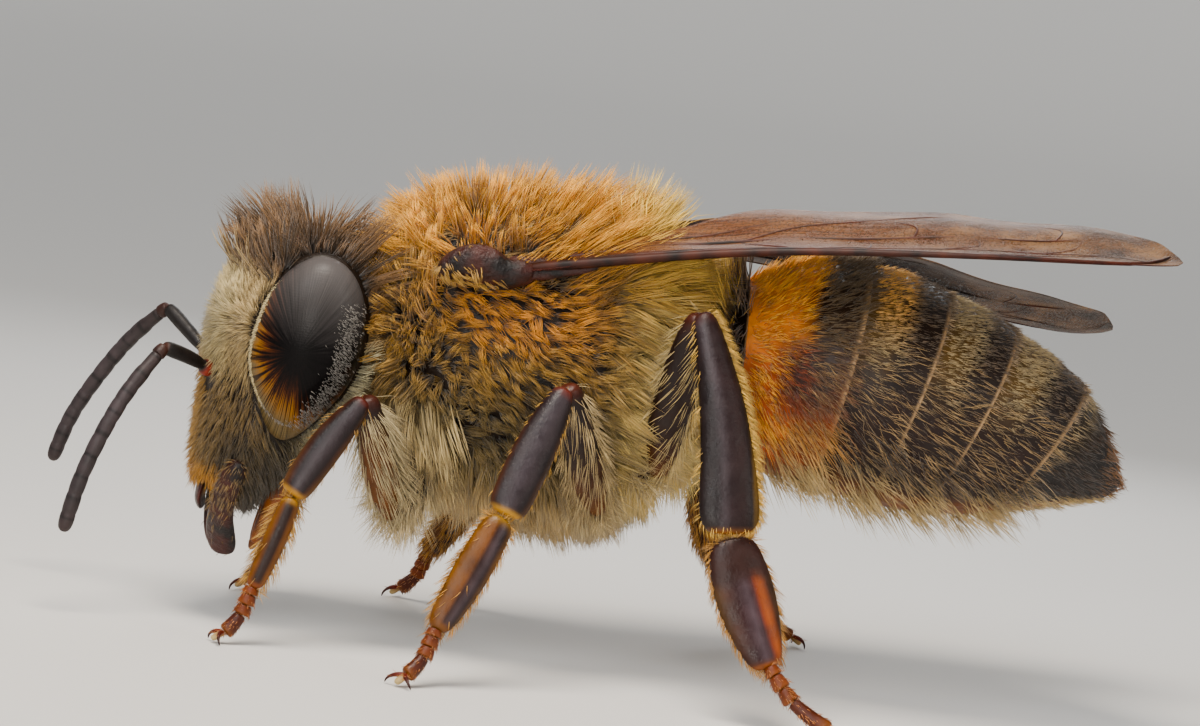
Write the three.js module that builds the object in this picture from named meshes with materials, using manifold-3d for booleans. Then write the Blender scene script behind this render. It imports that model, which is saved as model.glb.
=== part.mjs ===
// A worker honey bee at life size, standing on its six feet, in millimetres.
// +X runs from head to tail, +Y to the bee's right, +Z up. The origin is on the floor,
// under the middle of the whole model. The furred pieces reach out to the tips of their hair.

import * as THREE from 'three';
import { mergeVertices } from 'three/addons/utils/BufferGeometryUtils.js';
import Module from 'manifold-3d';

const wasm = await Module();
wasm.setup();

// Driving dimensions
const gap = 0.03;             // clearance between pieces that meet
const facetTolerance = 0.04; // how far a cut skin may stray when its small facets are merged
const memberMin = 0.5;        // thinnest leg, feeler and wing in the solids
const headCentre = [-4.35, 0, 3.55];
const headPitch = 8;          // degrees, the crown leans back
const headSquareness = 2.1;   // 2 is a true ellipse
const headYaw = 4;            // degrees, the face turns to the bee's left
const eyeLength = 2.62;
const eyeDepth = 1.46;
const eyeBulge = 1.2;
const eyeSide = 1.29;         // from the middle of the head to the middle of an eye
const eyeUp = 0.44;
const eyeFront = -0.14;
const eyeCant = 9;            // degrees, the lower ends of the eyes lean inwards
const neckHeight = 3.65;
const petioleHeight = 4.15;
const ringStep = 0.025;       // how much a ring narrows at its front, as a share of its width
const wingThickness = memberMin;
const foreWingChord = 2.75;
const hindWingChord = 1.5;
const soleHeight = 0.17;      // the middle of a foot above the floor

const colours = {
  hair: 0xb58a4c, dark: 0x2a1d18, orange: 0xc9741a, eye: 0x1c1520, horn: 0x4a2115,
  feeler: 0x3c3233, leg: 0x3a211b, shin: 0x2e1d1d, foot: 0x8a3a18, wing: 0x8c6f5e, tongue: 0xa8602a,
};

const shine = {
  hair: 0.85, dark: 0.45, orange: 0.5, eye: 0.15, horn: 0.3,
  feeler: 0.55, leg: 0.4, shin: 0.3, foot: 0.45, wing: 0.25, tongue: 0.5,
};

const radians = THREE.MathUtils.degToRad;
const vector = (point) => new THREE.Vector3(...point);
const mirrored = ([x, y, z]) => [x, -y, z];

// Joins rings of points into one closed skin, with a fan over each end.
function closedSkin(rings) {
  const sides = rings[0].length;
  const positions = [];
  const faces = [];
  for (const ring of rings) {
    for (const point of ring) positions.push(point.x, point.y, point.z);
  }
  for (let r = 0; r + 1 < rings.length; r++) {
    for (let s = 0; s < sides; s++) {
      const a = r * sides + s;
      const b = r * sides + (s + 1) % sides;
      faces.push(a, b, b + sides, a, b + sides, a + sides);
    }
  }
  for (const end of [0, rings.length - 1]) {
    const middle = rings[end].reduce((sum, point) => sum.add(point), new THREE.Vector3());
    middle.divideScalar(sides);
    const hub = positions.length / 3;
    positions.push(middle.x, middle.y, middle.z);
    for (let s = 0; s < sides; s++) {
      const a = end * sides + s;
      const b = end * sides + (s + 1) % sides;
      if (end === 0) faces.push(hub, b, a);
      else faces.push(hub, a, b);
    }
  }
  const geometry = new THREE.BufferGeometry();
  geometry.setAttribute('position', new THREE.Float32BufferAttribute(positions, 3));
  geometry.setIndex(faces);
  return facedOutwards(geometry);
}

function signedVolume(geometry) {
  const position = geometry.getAttribute('position');
  const index = geometry.getIndex().array;
  const corner = [new THREE.Vector3(), new THREE.Vector3(), new THREE.Vector3()];
  let volume = 0;
  for (let i = 0; i < index.length; i += 3) {
    corner.forEach((point, k) => point.fromBufferAttribute(position, index[i + k]));
    volume += corner[0].dot(corner[1].clone().cross(corner[2])) / 6;
  }
  return volume;
}

function facedOutwards(geometry) {
  if (signedVolume(geometry) > 0) return geometry;
  const index = geometry.getIndex().array;
  for (let i = 0; i < index.length; i += 3) {
    [index[i + 1], index[i + 2]] = [index[i + 2], index[i + 1]];
  }
  return geometry;
}

// Smooths a short list of stations, each a list of numbers, into evenly spaced ones.
function smoothed(stations, count, from = 0, to = 1) {
  const last = stations.length - 1;
  const at = (i) => stations[Math.min(Math.max(i, 0), last)];
  const result = [];
  for (let n = 0; n <= count; n++) {
    const place = THREE.MathUtils.lerp(from, to, n / count) * last;
    const i = Math.min(Math.floor(place), last - 1);
    const t = place - i;
    result.push(at(i).map((value, k) => {
      const before = at(i - 1)[k];
      const next = at(i + 1)[k];
      const after = at(i + 2)[k];
      return value + 0.5 * t * (next - before + t * (2 * before - 5 * value + 4 * next - after
        + t * (3 * (value - next) + after - before)));
    }));
  }
  return result;
}

// A rounded slice: a half width across, and a reach up and one down along `long`.
function slice(centre, across, long, [halfWidth, reachUp, reachDown], sides, squareness = 2) {
  const ring = [];
  for (let s = 0; s < sides; s++) {
    const angle = 2 * Math.PI * s / sides;
    const c = Math.cos(angle);
    const d = Math.sin(angle);
    const bend = (value) => Math.sign(value) * Math.abs(value) ** (2 / squareness);
    const reach = d > 0 ? reachUp : reachDown;
    const point = centre.clone().addScaledVector(across, halfWidth * bend(c));
    ring.push(point.addScaledVector(long, reach * bend(d)));
  }
  return ring;
}

// Body lofts: stations [x, z, lean, half width, reach up, reach down], slices across the body.
// `flare` narrows the front of a stretch, so that each ring's rear edge stands proud.
function trunkLoft(stations, sides, count, from = 0, to = 1, flare = 0) {
  const across = new THREE.Vector3(0, 1, 0);
  const rows = smoothed(stations, count, from, to);
  return closedSkin(rows.map(([x, z, lean, halfWidth, up, down], n) => {
    const long = new THREE.Vector3(Math.sin(radians(lean)), 0, Math.cos(radians(lean)));
    const swell = 1 - flare * (1 - n / count);
    const centre = new THREE.Vector3(x, 0, z);
    return slice(centre, across, long, [halfWidth * swell, up * swell, down * swell], sides);
  }));
}

// A limb: stations [x, y, z, width, thickness] along its middle line, flat side facing `flat`.
function limb(stations, flat, sides, count) {
  const rows = smoothed(stations, count);
  const points = rows.map(([x, y, z]) => new THREE.Vector3(x, y, z));
  return closedSkin(rows.map((row, n) => {
    const before = points[Math.max(n - 1, 0)];
    const after = points[Math.min(n + 1, count)];
    const tangent = after.clone().sub(before).normalize();
    const width = tangent.clone().cross(flat).normalize();
    const depth = width.clone().cross(tangent).normalize();
    return slice(points[n], width, depth, [row[3] / 2, row[4] / 2, row[4] / 2], sides);
  }));
}

// An ellipsoid with its own axes.
function bean(centre, size, turn, segments = 18) {
  const geometry = new THREE.SphereGeometry(0.5, segments, Math.round(segments * 0.6));
  geometry.scale(...size);
  geometry.applyMatrix4(new THREE.Matrix4().makeRotationFromEuler(turn));
  geometry.translate(...centre);
  return welded(geometry);
}

function welded(geometry) {
  geometry.deleteAttribute('normal');
  geometry.deleteAttribute('uv');
  return mergeVertices(geometry, 1e-5);
}

// The same shape pushed out along its own normals, for the clearance round it.
function grown(geometry) {
  const copy = geometry.clone();
  copy.computeVertexNormals();
  const position = copy.getAttribute('position');
  const normal = copy.getAttribute('normal');
  for (let i = 0; i < position.count; i++) {
    const point = new THREE.Vector3().fromBufferAttribute(position, i);
    point.addScaledVector(new THREE.Vector3().fromBufferAttribute(normal, i), gap);
    position.setXYZ(i, ...point.toArray());
  }
  return copy;
}

function solid(geometry) {
  return new wasm.Manifold(new wasm.Mesh({
    numProp: 3,
    vertProperties: new Float32Array(geometry.getAttribute('position').array),
    triVerts: new Uint32Array(geometry.getIndex().array),
  }));
}

// Cuts the neighbours, grown by the clearance, out of a shape.
function clearOf(geometry, neighbours) {
  const cutter = wasm.Manifold.union(neighbours.map((neighbour) => solid(grown(neighbour))));
  return fromSolid(solid(geometry).subtract(cutter.simplify(gap / 2)));
}

// Merges the small facets of a cut solid, and keeps its largest piece.
function fromSolid(body) {
  const pieces = body.simplify(facetTolerance).decompose();
  const mesh = pieces.sort((a, b) => b.volume() - a.volume())[0].getMesh();
  const geometry = new THREE.BufferGeometry();
  geometry.setAttribute('position', new THREE.Float32BufferAttribute(mesh.vertProperties, 3));
  geometry.setIndex([...mesh.triVerts]);
  return geometry;
}

function aboveFloor(geometry) {
  const floorBlock = new THREE.BoxGeometry(30, 30, 4);
  floorBlock.translate(0, 0, -2);
  return fromSolid(solid(geometry).subtract(solid(welded(floorBlock))));
}

const model = new THREE.Group();

function add(name, geometry, finish) {
  const material = new THREE.MeshStandardMaterial({
    color: colours[finish], roughness: shine[finish], metalness: 0,
    transparent: finish === 'wing', opacity: finish === 'wing' ? 0.6 : 1,
  });
  const mesh = new THREE.Mesh(geometry, material);
  mesh.name = name;
  model.add(mesh);
}

// Head: slices across its height, [height, front, back, half width], in the head's own frame.
const headTurn = new THREE.Matrix4().makeRotationZ(radians(headYaw))
  .multiply(new THREE.Matrix4().makeRotationY(radians(headPitch)));
headTurn.setPosition(...headCentre);

const inHead = (front, side, up) => new THREE.Vector3(-front, side, up).applyMatrix4(headTurn);

function headShape() {
  const stations = [
    [-1.86, 0.66, 0.1, 0.5],
    [-1.72, 0.86, -0.12, 0.72],
    [-1.3, 1.1, -0.6, 1.0],
    [-0.6, 1.24, -0.95, 1.26],
    [0.1, 1.38, -1.08, 1.38],
    [0.9, 1.44, -1.1, 1.46],
    [1.6, 1.34, -1.08, 1.4],
    [2.1, 1.08, -1.0, 1.14],
    [2.45, 0.72, -0.75, 0.74],
    [2.62, 0.24, -0.32, 0.3],
  ];
  const origin = inHead(0, 0, 0);
  const across = inHead(0, 1, 0).sub(origin);
  const forward = inHead(1, 0, 0).sub(origin);
  return closedSkin(smoothed(stations, 14).map(([up, front, back, halfWidth]) => {
    const middle = inHead((front + back) / 2, 0, up);
    const reach = (front - back) / 2;
    return slice(middle, across, forward, [halfWidth, reach, reach], 20, headSquareness);
  }));
}

function eyeShape(side) {
  const centre = inHead(eyeFront, side * eyeSide, eyeUp);
  const turn = new THREE.Euler().setFromRotationMatrix(new THREE.Matrix4().extractRotation(headTurn)
    .multiply(new THREE.Matrix4().makeRotationX(radians(-side * eyeCant))));
  return bean(centre.toArray(), [eyeDepth, eyeBulge, eyeLength], turn, 14);
}

// Jaws and lip
function mandibleShape(side) {
  const place = (front, out, up, width, depth) => [...inHead(front, side * out, up).toArray(), width, depth];
  return limb([
    place(0.24, 1.0, -1.2, 0.5, 0.5),
    place(0.28, 0.86, -1.68, 0.56, 0.5),
    place(0.24, 0.62, -2.14, 0.6, 0.5),
    place(0.12, 0.34, -2.54, 0.5, 0.5),
    place(0.06, 0.28, -2.72, 0.24, 0.24),
  ], new THREE.Vector3(-0.4, side, 0), 8, 6);
}

function labrumShape() {
  const place = (front, up, width, depth) => [...inHead(front, 0, up).toArray(), width, depth];
  return limb([
    place(0.5, -1.88, 0.9, 0.4),
    place(0.52, -2.02, 1, 0.42),
    place(0.52, -2.18, 0.8, 0.3),
  ], new THREE.Vector3(-1, 0, 0), 12, 3);
}

function proboscisShape() {
  const place = (front, up, width, depth) => [...inHead(front, 0, up).toArray(), width, depth];
  return limb([
    place(-0.62, -1.0, 0.9, 0.5),
    place(-0.4, -1.6, 0.8, 0.55),
    place(-0.3, -2.1, 0.6, 0.5),
    place(-0.24, -2.5, 0.3, 0.3),
  ], new THREE.Vector3(1, 0, 0), 8, 6);
}

// Feelers: elbow-jointed, each a scape and a flagellum that starts with its pedicel
const feelers = {
  left: {
    scape: [[-5.26, -0.45, 3.42], [-5.62, -0.78, 3.6], [-5.97, -1.08, 3.72]],
    flagellum: [[-6.14, -1.25, 3.56], [-6.42, -1.42, 2.98], [-6.8, -1.58, 1.98], [-6.98, -1.6, 1.1]],
  },
  right: {
    scape: [[-5.3, 0.42, 3.46], [-5.72, 0.8, 3.8], [-6.08, 1.08, 4.08]],
    flagellum: [[-6.26, 1.24, 3.94], [-6.64, 1.48, 3.42], [-7.22, 1.76, 2.4], [-7.46, 1.8, 1.62]],
  },
};

function feelerShape(points, count) {
  const stations = points.map((point) => [...point, memberMin, memberMin]);
  return limb(stations, new THREE.Vector3(0, 1, 0.1), 8, count);
}

// Thorax: the furred box that carries wings and legs
function thoraxShape() {
  return trunkLoft([
    [-3.05, 4.35, -14, 0.7, 1.15, 0.75],
    [-2.86, 4.35, -16, 1.5, 2.0, 1.4],
    [-2.35, 4.4, -8, 2.02, 2.44, 2.1],
    [-1.3, 4.4, 0, 2.34, 2.62, 2.72],
    [-0.4, 4.4, 0, 2.34, 2.64, 2.88],
    [0.3, 4.3, 0, 2.18, 2.3, 2.8],
    [0.9, 4.15, 0, 1.85, 1.75, 2.4],
    [1.3, 4.05, 0, 1.3, 1.15, 1.8],
    [1.48, 4.0, 0, 0.6, 0.55, 0.9],
  ], 24, 12);
}

// Abdomen: one curved spindle, parted into its six rings
const abdomenStations = [
  [1.5, 4.15, 0, 0.55, 0.6, 0.5],
  [1.68, 4.28, 0, 1.3, 1.25, 1.1],
  [2.15, 4.42, 2, 1.78, 1.55, 1.42],
  [2.9, 4.48, 6, 1.98, 1.64, 1.62],
  [3.7, 4.42, 12, 2.04, 1.7, 1.76],
  [4.6, 4.2, 18, 1.94, 1.62, 1.74],
  [5.4, 4.0, 24, 1.72, 1.47, 1.58],
  [6.2, 3.8, 31, 1.34, 1.15, 1.28],
  [6.85, 3.58, 38, 0.85, 0.76, 0.8],
  [7.3, 3.38, 42, 0.26, 0.26, 0.26],
];
const ringEnds = [0, 0.235, 0.41, 0.55, 0.67, 0.79, 1];

function abdomenRing(number) {
  const seam = gap / 12;      // as a share of the abdomen's length
  const from = ringEnds[number - 1] + (number > 1 ? seam : 0);
  const to = ringEnds[number] - (number < 6 ? seam : 0);
  return trunkLoft(abdomenStations, 20, number === 6 ? 5 : 3, from, to, number > 1 ? ringStep : 0);
}

// Wings: a front edge from hinge to tip, and a chord that swells and closes again.
// `tuck` is how far the hindwing lies in from the front edge of the forewing over it.
const wings = {
  left: {
    edge: [[-1.2, -1.95, 5.5], [0.25, -2.25, 5.83], [2.2, -2.68, 6.2], [4.6, -3.02, 6.5], [6.6, -3.06, 6.7],
      [7.44, -2.9, 6.8]],
    chord: [-0.14, 0.97, 0.165],
    tuck: 1.1,
  },
  right: {
    edge: [[-1.2, 1.95, 5.5], [0.25, 2.38, 5.72], [2.2, 2.9, 5.7], [4.6, 3.2, 5.46], [6.6, 3.2, 5.28],
      [7.5, 3.0, 5.4]],
    chord: [-0.14, -0.93, 0.29],
    tuck: 0.2,
  },
};

const rootChord = 0.13;       // the chord at the hinge, as a share of the widest chord
const foreOutline = (t) => rootChord * (1 - t)
  + Math.sin(Math.PI * t ** 1.22) ** 0.62 * (0.4 + 0.6 * Math.sin(Math.PI * t ** 0.9 / 1.35));
const hindOutline = (t) => rootChord * (1 - t) + Math.sin(Math.PI * t ** 1.05) ** 0.7;

function wingShape({ edge, chord }, { reach, width, drop, inset, outline }, tuck = 0) {
  const chordway = vector(chord).normalize();
  const spanSteps = 14;
  const rows = smoothed(edge, spanSteps, inset, reach);
  const alongWing = vector(edge.at(-1)).sub(vector(edge[0])).normalize();
  const lift = alongWing.clone().cross(chordway).normalize();
  if (lift.z < 0) lift.negate();
  const chordSteps = 4;
  const rings = rows.map((row, n) => {
    const start = vector(row).addScaledVector(lift, -drop);
    start.addScaledVector(chordway, tuck * Math.min(1, 2 * n / spanSteps));
    const span = Math.max(outline(n / spanSteps) * width, 0.1);
    const top = [];
    const bottom = [];
    for (let c = 0; c <= chordSteps; c++) {
      const point = start.clone().addScaledVector(chordway, span * c / chordSteps);
      top.push(point.clone().addScaledVector(lift, wingThickness / 2));
      bottom.push(point.clone().addScaledVector(lift, -wingThickness / 2));
    }
    return [...top, ...bottom.reverse()];
  });
  return closedSkin(rings);
}

const foreWing = { reach: 1, width: foreWingChord, drop: 0, inset: 0, outline: foreOutline };
const hindWing = {
  reach: 0.72, width: hindWingChord, drop: wingThickness + gap, inset: 0.05, outline: hindOutline,
};

// Tegula: the small shell over each wing root
function tegulaShape(side) {
  return bean([-1.86, side * 1.98, 5.42], [1.12, 0.62, 0.66], new THREE.Euler(side * -0.45, 0.12, 0), 10);
}

// Legs: five pieces each; joints of the left legs, [x, y, z], from body to claw
const legs = {
  fore: {
    coxa: [[-2.3, -0.76, 2.42], [-2.52, -1.0, 1.86]],
    femur: [[-2.6, -1.08, 1.8], [-2.92, -1.55, 2.7], [-3.13, -1.88, 3.46]],
    tibia: [[-3.22, -1.96, 3.42], [-3.6, -2.1, 2.8], [-3.96, -2.24, 2.1]],
    basitarsus: [[-3.97, -2.26, 2.02], [-4.14, -2.3, 1.4], [-4.32, -2.35, 0.8]],
    tarsus: [[-4.34, -2.36, 0.76], [-4.45, -2.4, 0.36], [-4.7, -2.48, soleHeight]],
    widths: { coxa: [0.9, 0.62], femur: [0.5, 0.64, 0.5], tibia: [0.5, 0.56, 0.52],
      basitarsus: [0.5, 0.52, 0.5], tarsus: [0.5, 0.5, 0.5] },
  },
  mid: {
    coxa: [[-0.05, -0.9, 2.74], [0.16, -1.18, 2.3]],
    femur: [[0.2, -1.26, 2.26], [-0.2, -1.95, 3.2], [-0.5, -2.48, 4.02]],
    tibia: [[-0.58, -2.57, 3.98], [-0.88, -2.88, 3.1], [-1.13, -3.18, 2.36]],
    basitarsus: [[-1.18, -3.22, 2.26], [-1.52, -3.5, 1.45], [-1.84, -3.74, 0.78]],
    tarsus: [[-1.87, -3.78, 0.72], [-2.0, -3.92, 0.34], [-2.22, -4.12, soleHeight]],
    widths: { coxa: [0.95, 0.66], femur: [0.52, 0.66, 0.52], tibia: [0.5, 0.64, 0.6],
      basitarsus: [0.5, 0.56, 0.5], tarsus: [0.5, 0.5, 0.5] },
  },
  hind: {
    coxa: [[0.55, -0.8, 3.18], [0.86, -1.15, 2.86]],
    femur: [[0.92, -1.24, 2.9], [0.98, -1.85, 4.1], [1.1, -2.4, 5.18]],
    tibia: [[1.18, -2.5, 5.24], [1.62, -2.86, 3.95], [1.84, -3.28, 2.5]],
    basitarsus: [[1.87, -3.32, 2.38], [2.18, -3.5, 1.6], [2.54, -3.73, 0.84]],
    tarsus: [[2.6, -3.77, 0.76], [2.96, -3.94, 0.38], [3.52, -4.12, soleHeight]],
    widths: { coxa: [1, 0.7], femur: [0.54, 0.7, 0.54], tibia: [0.5, 0.74, 0.88],
      basitarsus: [0.74, 0.88, 0.62], tarsus: [0.5, 0.5, 0.5] },
  },
};
const legPieces = ['coxa', 'femur', 'tibia', 'basitarsus', 'tarsus'];
const legFinish = { coxa: 'dark', femur: 'leg', tibia: 'shin', basitarsus: 'leg', tarsus: 'foot' };

// The right feet stand a little apart from the mirror of the left ones, as a live bee's do.
const rightShift = { fore: [0.12, 0.16], mid: [-0.1, -0.14], hind: [0.16, 0.12] };

function legShape(leg, piece, side) {
  const { [piece]: joints, widths } = legs[leg];
  const index = legPieces.indexOf(piece);
  const stations = joints.map((joint, n) => {
    const share = (index + n / (joints.length - 1)) / legPieces.length;
    const [dx, dy] = rightShift[leg];
    const place = side < 0 ? joint : mirrored([joint[0] + dx * share, joint[1] - dy * share, joint[2]]);
    return [...place, widths[piece][n], memberMin];
  });
  const flat = new THREE.Vector3(0.15, side, 0.35);
  return limb(roundedEnds(stations), flat, 8, piece === 'coxa' ? 4 : 5);
}

// Adds a narrower station just inside each end, so that a limb closes in a rounded stub.
function roundedEnds(stations) {
  const shrink = ([x, y, z, width, depth]) => [x, y, z, width * 0.7, depth * 0.7];
  const inwards = (a, b) => a.map((value, k) => (k < 3 ? value + (b[k] - value) * 0.12 : value));
  const last = stations.length - 1;
  return [
    shrink(stations[0]),
    inwards(stations[0], stations[1]),
    ...stations.slice(1, -1),
    inwards(stations[last], stations[last - 1]),
    shrink(stations[last]),
  ];
}

// Assembly
const sides = { left: -1, right: 1 };
const shapes = {};
const neck = limb([[-3.5, 0, neckHeight, 0.9, 0.9], [-2.6, 0, neckHeight + 0.1, 0.9, 0.9]],
  new THREE.Vector3(0, 0, 1), 16, 2);
const petiole = limb([[1.2, 0, petioleHeight, 0.7, 0.7], [1.85, 0, petioleHeight, 0.7, 0.7]],
  new THREE.Vector3(0, 0, 1), 16, 2);

for (const [name, side] of Object.entries(sides)) {
  shapes[`eye_${name}`] = eyeShape(side);
  shapes[`mandible_${name}`] = mandibleShape(side);
  shapes[`scape_${name}`] = feelerShape(feelers[name].scape, 4);
  shapes[`flagellum_${name}`] = feelerShape(feelers[name].flagellum, 7);
  shapes[`tegula_${name}`] = tegulaShape(side);
  shapes[`forewing_${name}`] = wingShape(wings[name], foreWing);
  shapes[`hindwing_${name}`] = wingShape(wings[name], hindWing, wings[name].tuck);
  for (const leg of Object.keys(legs)) {
    for (const piece of legPieces) shapes[`${leg}_${piece}_${name}`] = legShape(leg, piece, side);
  }
}

const abdomenRings = ringEnds.slice(1).map((end, n) => abdomenRing(n + 1));
const namesLike = (pattern) => Object.keys(shapes).filter((name) => pattern.test(name));
const named = (pattern) => namesLike(pattern).map((name) => shapes[name]);

for (const name of Object.keys(sides)) {
  for (const leg of Object.keys(legs)) {
    const chain = legPieces.map((piece) => `${leg}_${piece}_${name}`);
    for (let n = 1; n < chain.length; n++) {
      shapes[chain[n]] = clearOf(shapes[chain[n]], [shapes[chain[n - 1]]]);
    }
    shapes[chain.at(-1)] = aboveFloor(shapes[chain.at(-1)]);
  }
  shapes[`flagellum_${name}`] = clearOf(shapes[`flagellum_${name}`], [shapes[`scape_${name}`]]);
  shapes[`forewing_${name}`] = clearOf(shapes[`forewing_${name}`], [shapes[`tegula_${name}`]]);
  shapes[`hindwing_${name}`] = clearOf(shapes[`hindwing_${name}`], [
    shapes[`tegula_${name}`], shapes[`hind_femur_${name}`], shapes[`hind_tibia_${name}`], ...abdomenRings]);
}

const labrum = labrumShape();
const proboscis = clearOf(proboscisShape(), named(/^mandible/));
const trunk = thoraxShape();
const head = clearOf(headShape(), [...named(/^(eye|mandible|scape)/), labrum, proboscis, neck, trunk]);
const thorax = clearOf(trunk, [
  ...named(/^(tegula|forewing|hindwing)/), ...named(/_(coxa|femur|tibia)_/), neck, petiole]);

add('head', head, 'hair');
add('neck', neck, 'dark');
add('thorax', thorax, 'hair');
add('petiole', petiole, 'dark');
add('labrum', labrum, 'horn');
add('proboscis', proboscis, 'tongue');
abdomenRings.forEach((ring, n) => {
  add(`abdomen_${n + 1}`, n === 0 ? clearOf(ring, [petiole]) : ring, n === 1 ? 'orange' : 'dark');
});
for (const name of Object.keys(sides)) {
  add(`eye_${name}`, shapes[`eye_${name}`], 'eye');
  add(`mandible_${name}`, clearOf(shapes[`mandible_${name}`], [labrum]), 'horn');
  add(`scape_${name}`, shapes[`scape_${name}`], 'feeler');
  add(`flagellum_${name}`, shapes[`flagellum_${name}`], 'feeler');
  add(`tegula_${name}`, shapes[`tegula_${name}`], 'horn');
  add(`forewing_${name}`, shapes[`forewing_${name}`], 'wing');
  add(`hindwing_${name}`, shapes[`hindwing_${name}`], 'wing');
  for (const leg of Object.keys(legs)) {
    for (const piece of legPieces) {
      const part = `${leg}_${piece}_${name}`;
      add(part, shapes[part], legFinish[piece]);
    }
  }
}

export default model;
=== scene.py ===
import math
import bmesh
import bpy
import numpy as np
from mathutils import Matrix, Vector
from mathutils.kdtree import KDTree


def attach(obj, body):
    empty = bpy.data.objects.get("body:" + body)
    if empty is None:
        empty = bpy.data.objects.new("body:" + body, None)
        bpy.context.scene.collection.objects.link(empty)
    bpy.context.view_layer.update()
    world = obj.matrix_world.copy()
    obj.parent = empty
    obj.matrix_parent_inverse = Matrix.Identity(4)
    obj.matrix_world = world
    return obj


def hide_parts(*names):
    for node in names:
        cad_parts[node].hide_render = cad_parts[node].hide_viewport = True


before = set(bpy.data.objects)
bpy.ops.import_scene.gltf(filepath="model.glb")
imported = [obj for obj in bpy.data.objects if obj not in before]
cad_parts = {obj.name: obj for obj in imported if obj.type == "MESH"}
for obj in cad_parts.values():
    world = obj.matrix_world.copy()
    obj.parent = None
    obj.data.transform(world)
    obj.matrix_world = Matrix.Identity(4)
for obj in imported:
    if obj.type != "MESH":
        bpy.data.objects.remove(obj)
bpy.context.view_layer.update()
mm = 0.001
chance = np.random.default_rng(7)


# Small helpers

def toLinear(hexColour):
    channels = [int(hexColour[i:i + 2], 16) / 255 for i in (0, 2, 4)]
    return [c / 12.92 if c <= 0.04045 else ((c + 0.055) / 1.055) ** 2.4 for c in channels] + [1.0]


def point(values):
    return Vector(values) * mm


def deselectAll():
    if bpy.context.object and bpy.context.object.mode != "OBJECT":
        bpy.ops.object.mode_set(mode="OBJECT")
    bpy.ops.object.select_all(action="DESELECT")


def pick(*pieces):
    deselectAll()
    for piece in pieces:
        piece.select_set(True)
    bpy.context.view_layer.objects.active = pieces[0]


def modify(piece, kind, **settings):
    pick(piece)
    modifier = piece.modifiers.new(kind, kind)
    for name, value in settings.items():
        setattr(modifier, name, value)
    bpy.ops.object.modifier_apply(modifier=modifier.name)


def smooth(piece, levels=2):
    modify(piece, "SUBSURF", levels=levels, render_levels=levels)
    pick(piece)
    bpy.ops.object.shade_smooth()


def joined(name, pieces):
    pick(*pieces)
    if len(pieces) > 1:
        bpy.ops.object.join()
    piece = bpy.context.object
    piece.name = name
    piece.data.name = name
    return piece


def finishPiece(piece, nodes, material):
    piece.data.materials.clear()
    piece.data.materials.append(material)
    piece.data.polygons.foreach_set("material_index", [0] * len(piece.data.polygons))
    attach(piece, "root")
    if nodes:
        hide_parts(*nodes)


# Evenly spaced points on a smooth line through the given rows of numbers.
def spline(rows, count):
    rows = np.array(rows, float)
    last = len(rows) - 1
    places = np.linspace(0, last, count + 1)
    result = []
    for place in places:
        i = min(int(place), last - 1)
        t = place - i
        a, b, c, d = (rows[min(max(k, 0), last)] for k in (i - 1, i, i + 1, i + 2))
        result.append(b + 0.5 * t * (c - a + t * (2 * a - 5 * b + 4 * c - d + t * (3 * (b - c) + d - a))))
    return np.array(result)


def unit(vectors):
    return vectors / np.maximum(np.linalg.norm(vectors, axis=-1, keepdims=True), 1e-9)


def between(low, high, value):
    share = np.clip((value - low) / (high - low), 0, 1)
    return share * share * (3 - 2 * share)


# A ring of the tube: the unit circle laid at `centre`, `width` and `height` across, facing `along`.
def ring(centre, along, upward, width, height):
    along = Vector(along).normalized()
    across = Vector(upward).cross(along).normalized()
    upward = along.cross(across)
    turn = Matrix((across * width * mm / 2, upward * height * mm / 2, along * mm)).transposed().to_4x4()
    turn.translation = point(centre)
    return turn


# Extruding leaves a mesh's parts in another order each run, and hairs would grow in other places: this
# builds the mesh again with its parts in order of place.
def settle(piece):
    places = [tuple(vertex.co) for vertex in piece.data.vertices]
    order = sorted(range(len(places)), key=lambda n: places[n])
    rank = {old: new for new, old in enumerate(order)}
    faces = []
    for face in piece.data.polygons:
        corners = [rank[n] for n in face.vertices]
        first = corners.index(min(corners))
        faces.append(corners[first:] + corners[:first])
    piece.data.clear_geometry()
    piece.data.from_pydata([places[n] for n in order], [], sorted(faces))


def growTube(name, rings, sides=12, levels=2):
    deselectAll()
    bpy.ops.mesh.primitive_circle_add(vertices=sides, radius=1, fill_type="NGON")
    piece = bpy.context.object
    piece.name = name
    bpy.ops.object.mode_set(mode="EDIT")
    cage = bmesh.from_edit_mesh(piece.data)
    roundness = 6 / (4 + 2 * math.cos(2 * math.pi / sides))   # a subdivided ring shrinks by this
    swell = Matrix.Diagonal((roundness, roundness, 1, 1))
    bmesh.ops.transform(cage, matrix=rings[0] @ swell, verts=cage.verts)
    for before, after in zip(rings, rings[1:]):
        bpy.ops.mesh.extrude_region()
        cage = bmesh.from_edit_mesh(piece.data)
        moved = [vertex for vertex in cage.verts if vertex.select]
        bmesh.ops.transform(cage, matrix=after @ before.inverted(), verts=moved)
    bpy.ops.mesh.select_all(action="SELECT")
    bpy.ops.mesh.normals_make_consistent(inside=False)
    bpy.ops.object.mode_set(mode="OBJECT")
    settle(piece)
    if levels:
        smooth(piece, levels)
    return piece


# A limb along a smooth line: stations are [share of the length, width, thickness].
def growLimb(name, joints, stations, flat, sides=10, levels=2):
    line = spline(joints, 24)
    steps = np.linalg.norm(np.diff(line, axis=0), axis=1)
    reach = np.concatenate([[0], np.cumsum(steps)]) / steps.sum()
    at = lambda share: Vector([np.interp(share, reach, line[:, k]) for k in range(3)])
    rings = []
    for share, width, height in stations:
        along = at(min(share + 0.03, 1)) - at(max(share - 0.03, 0))
        rings.append(ring(at(share), along, flat, width, height))
    return growTube(name, rings, sides, levels)


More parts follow.
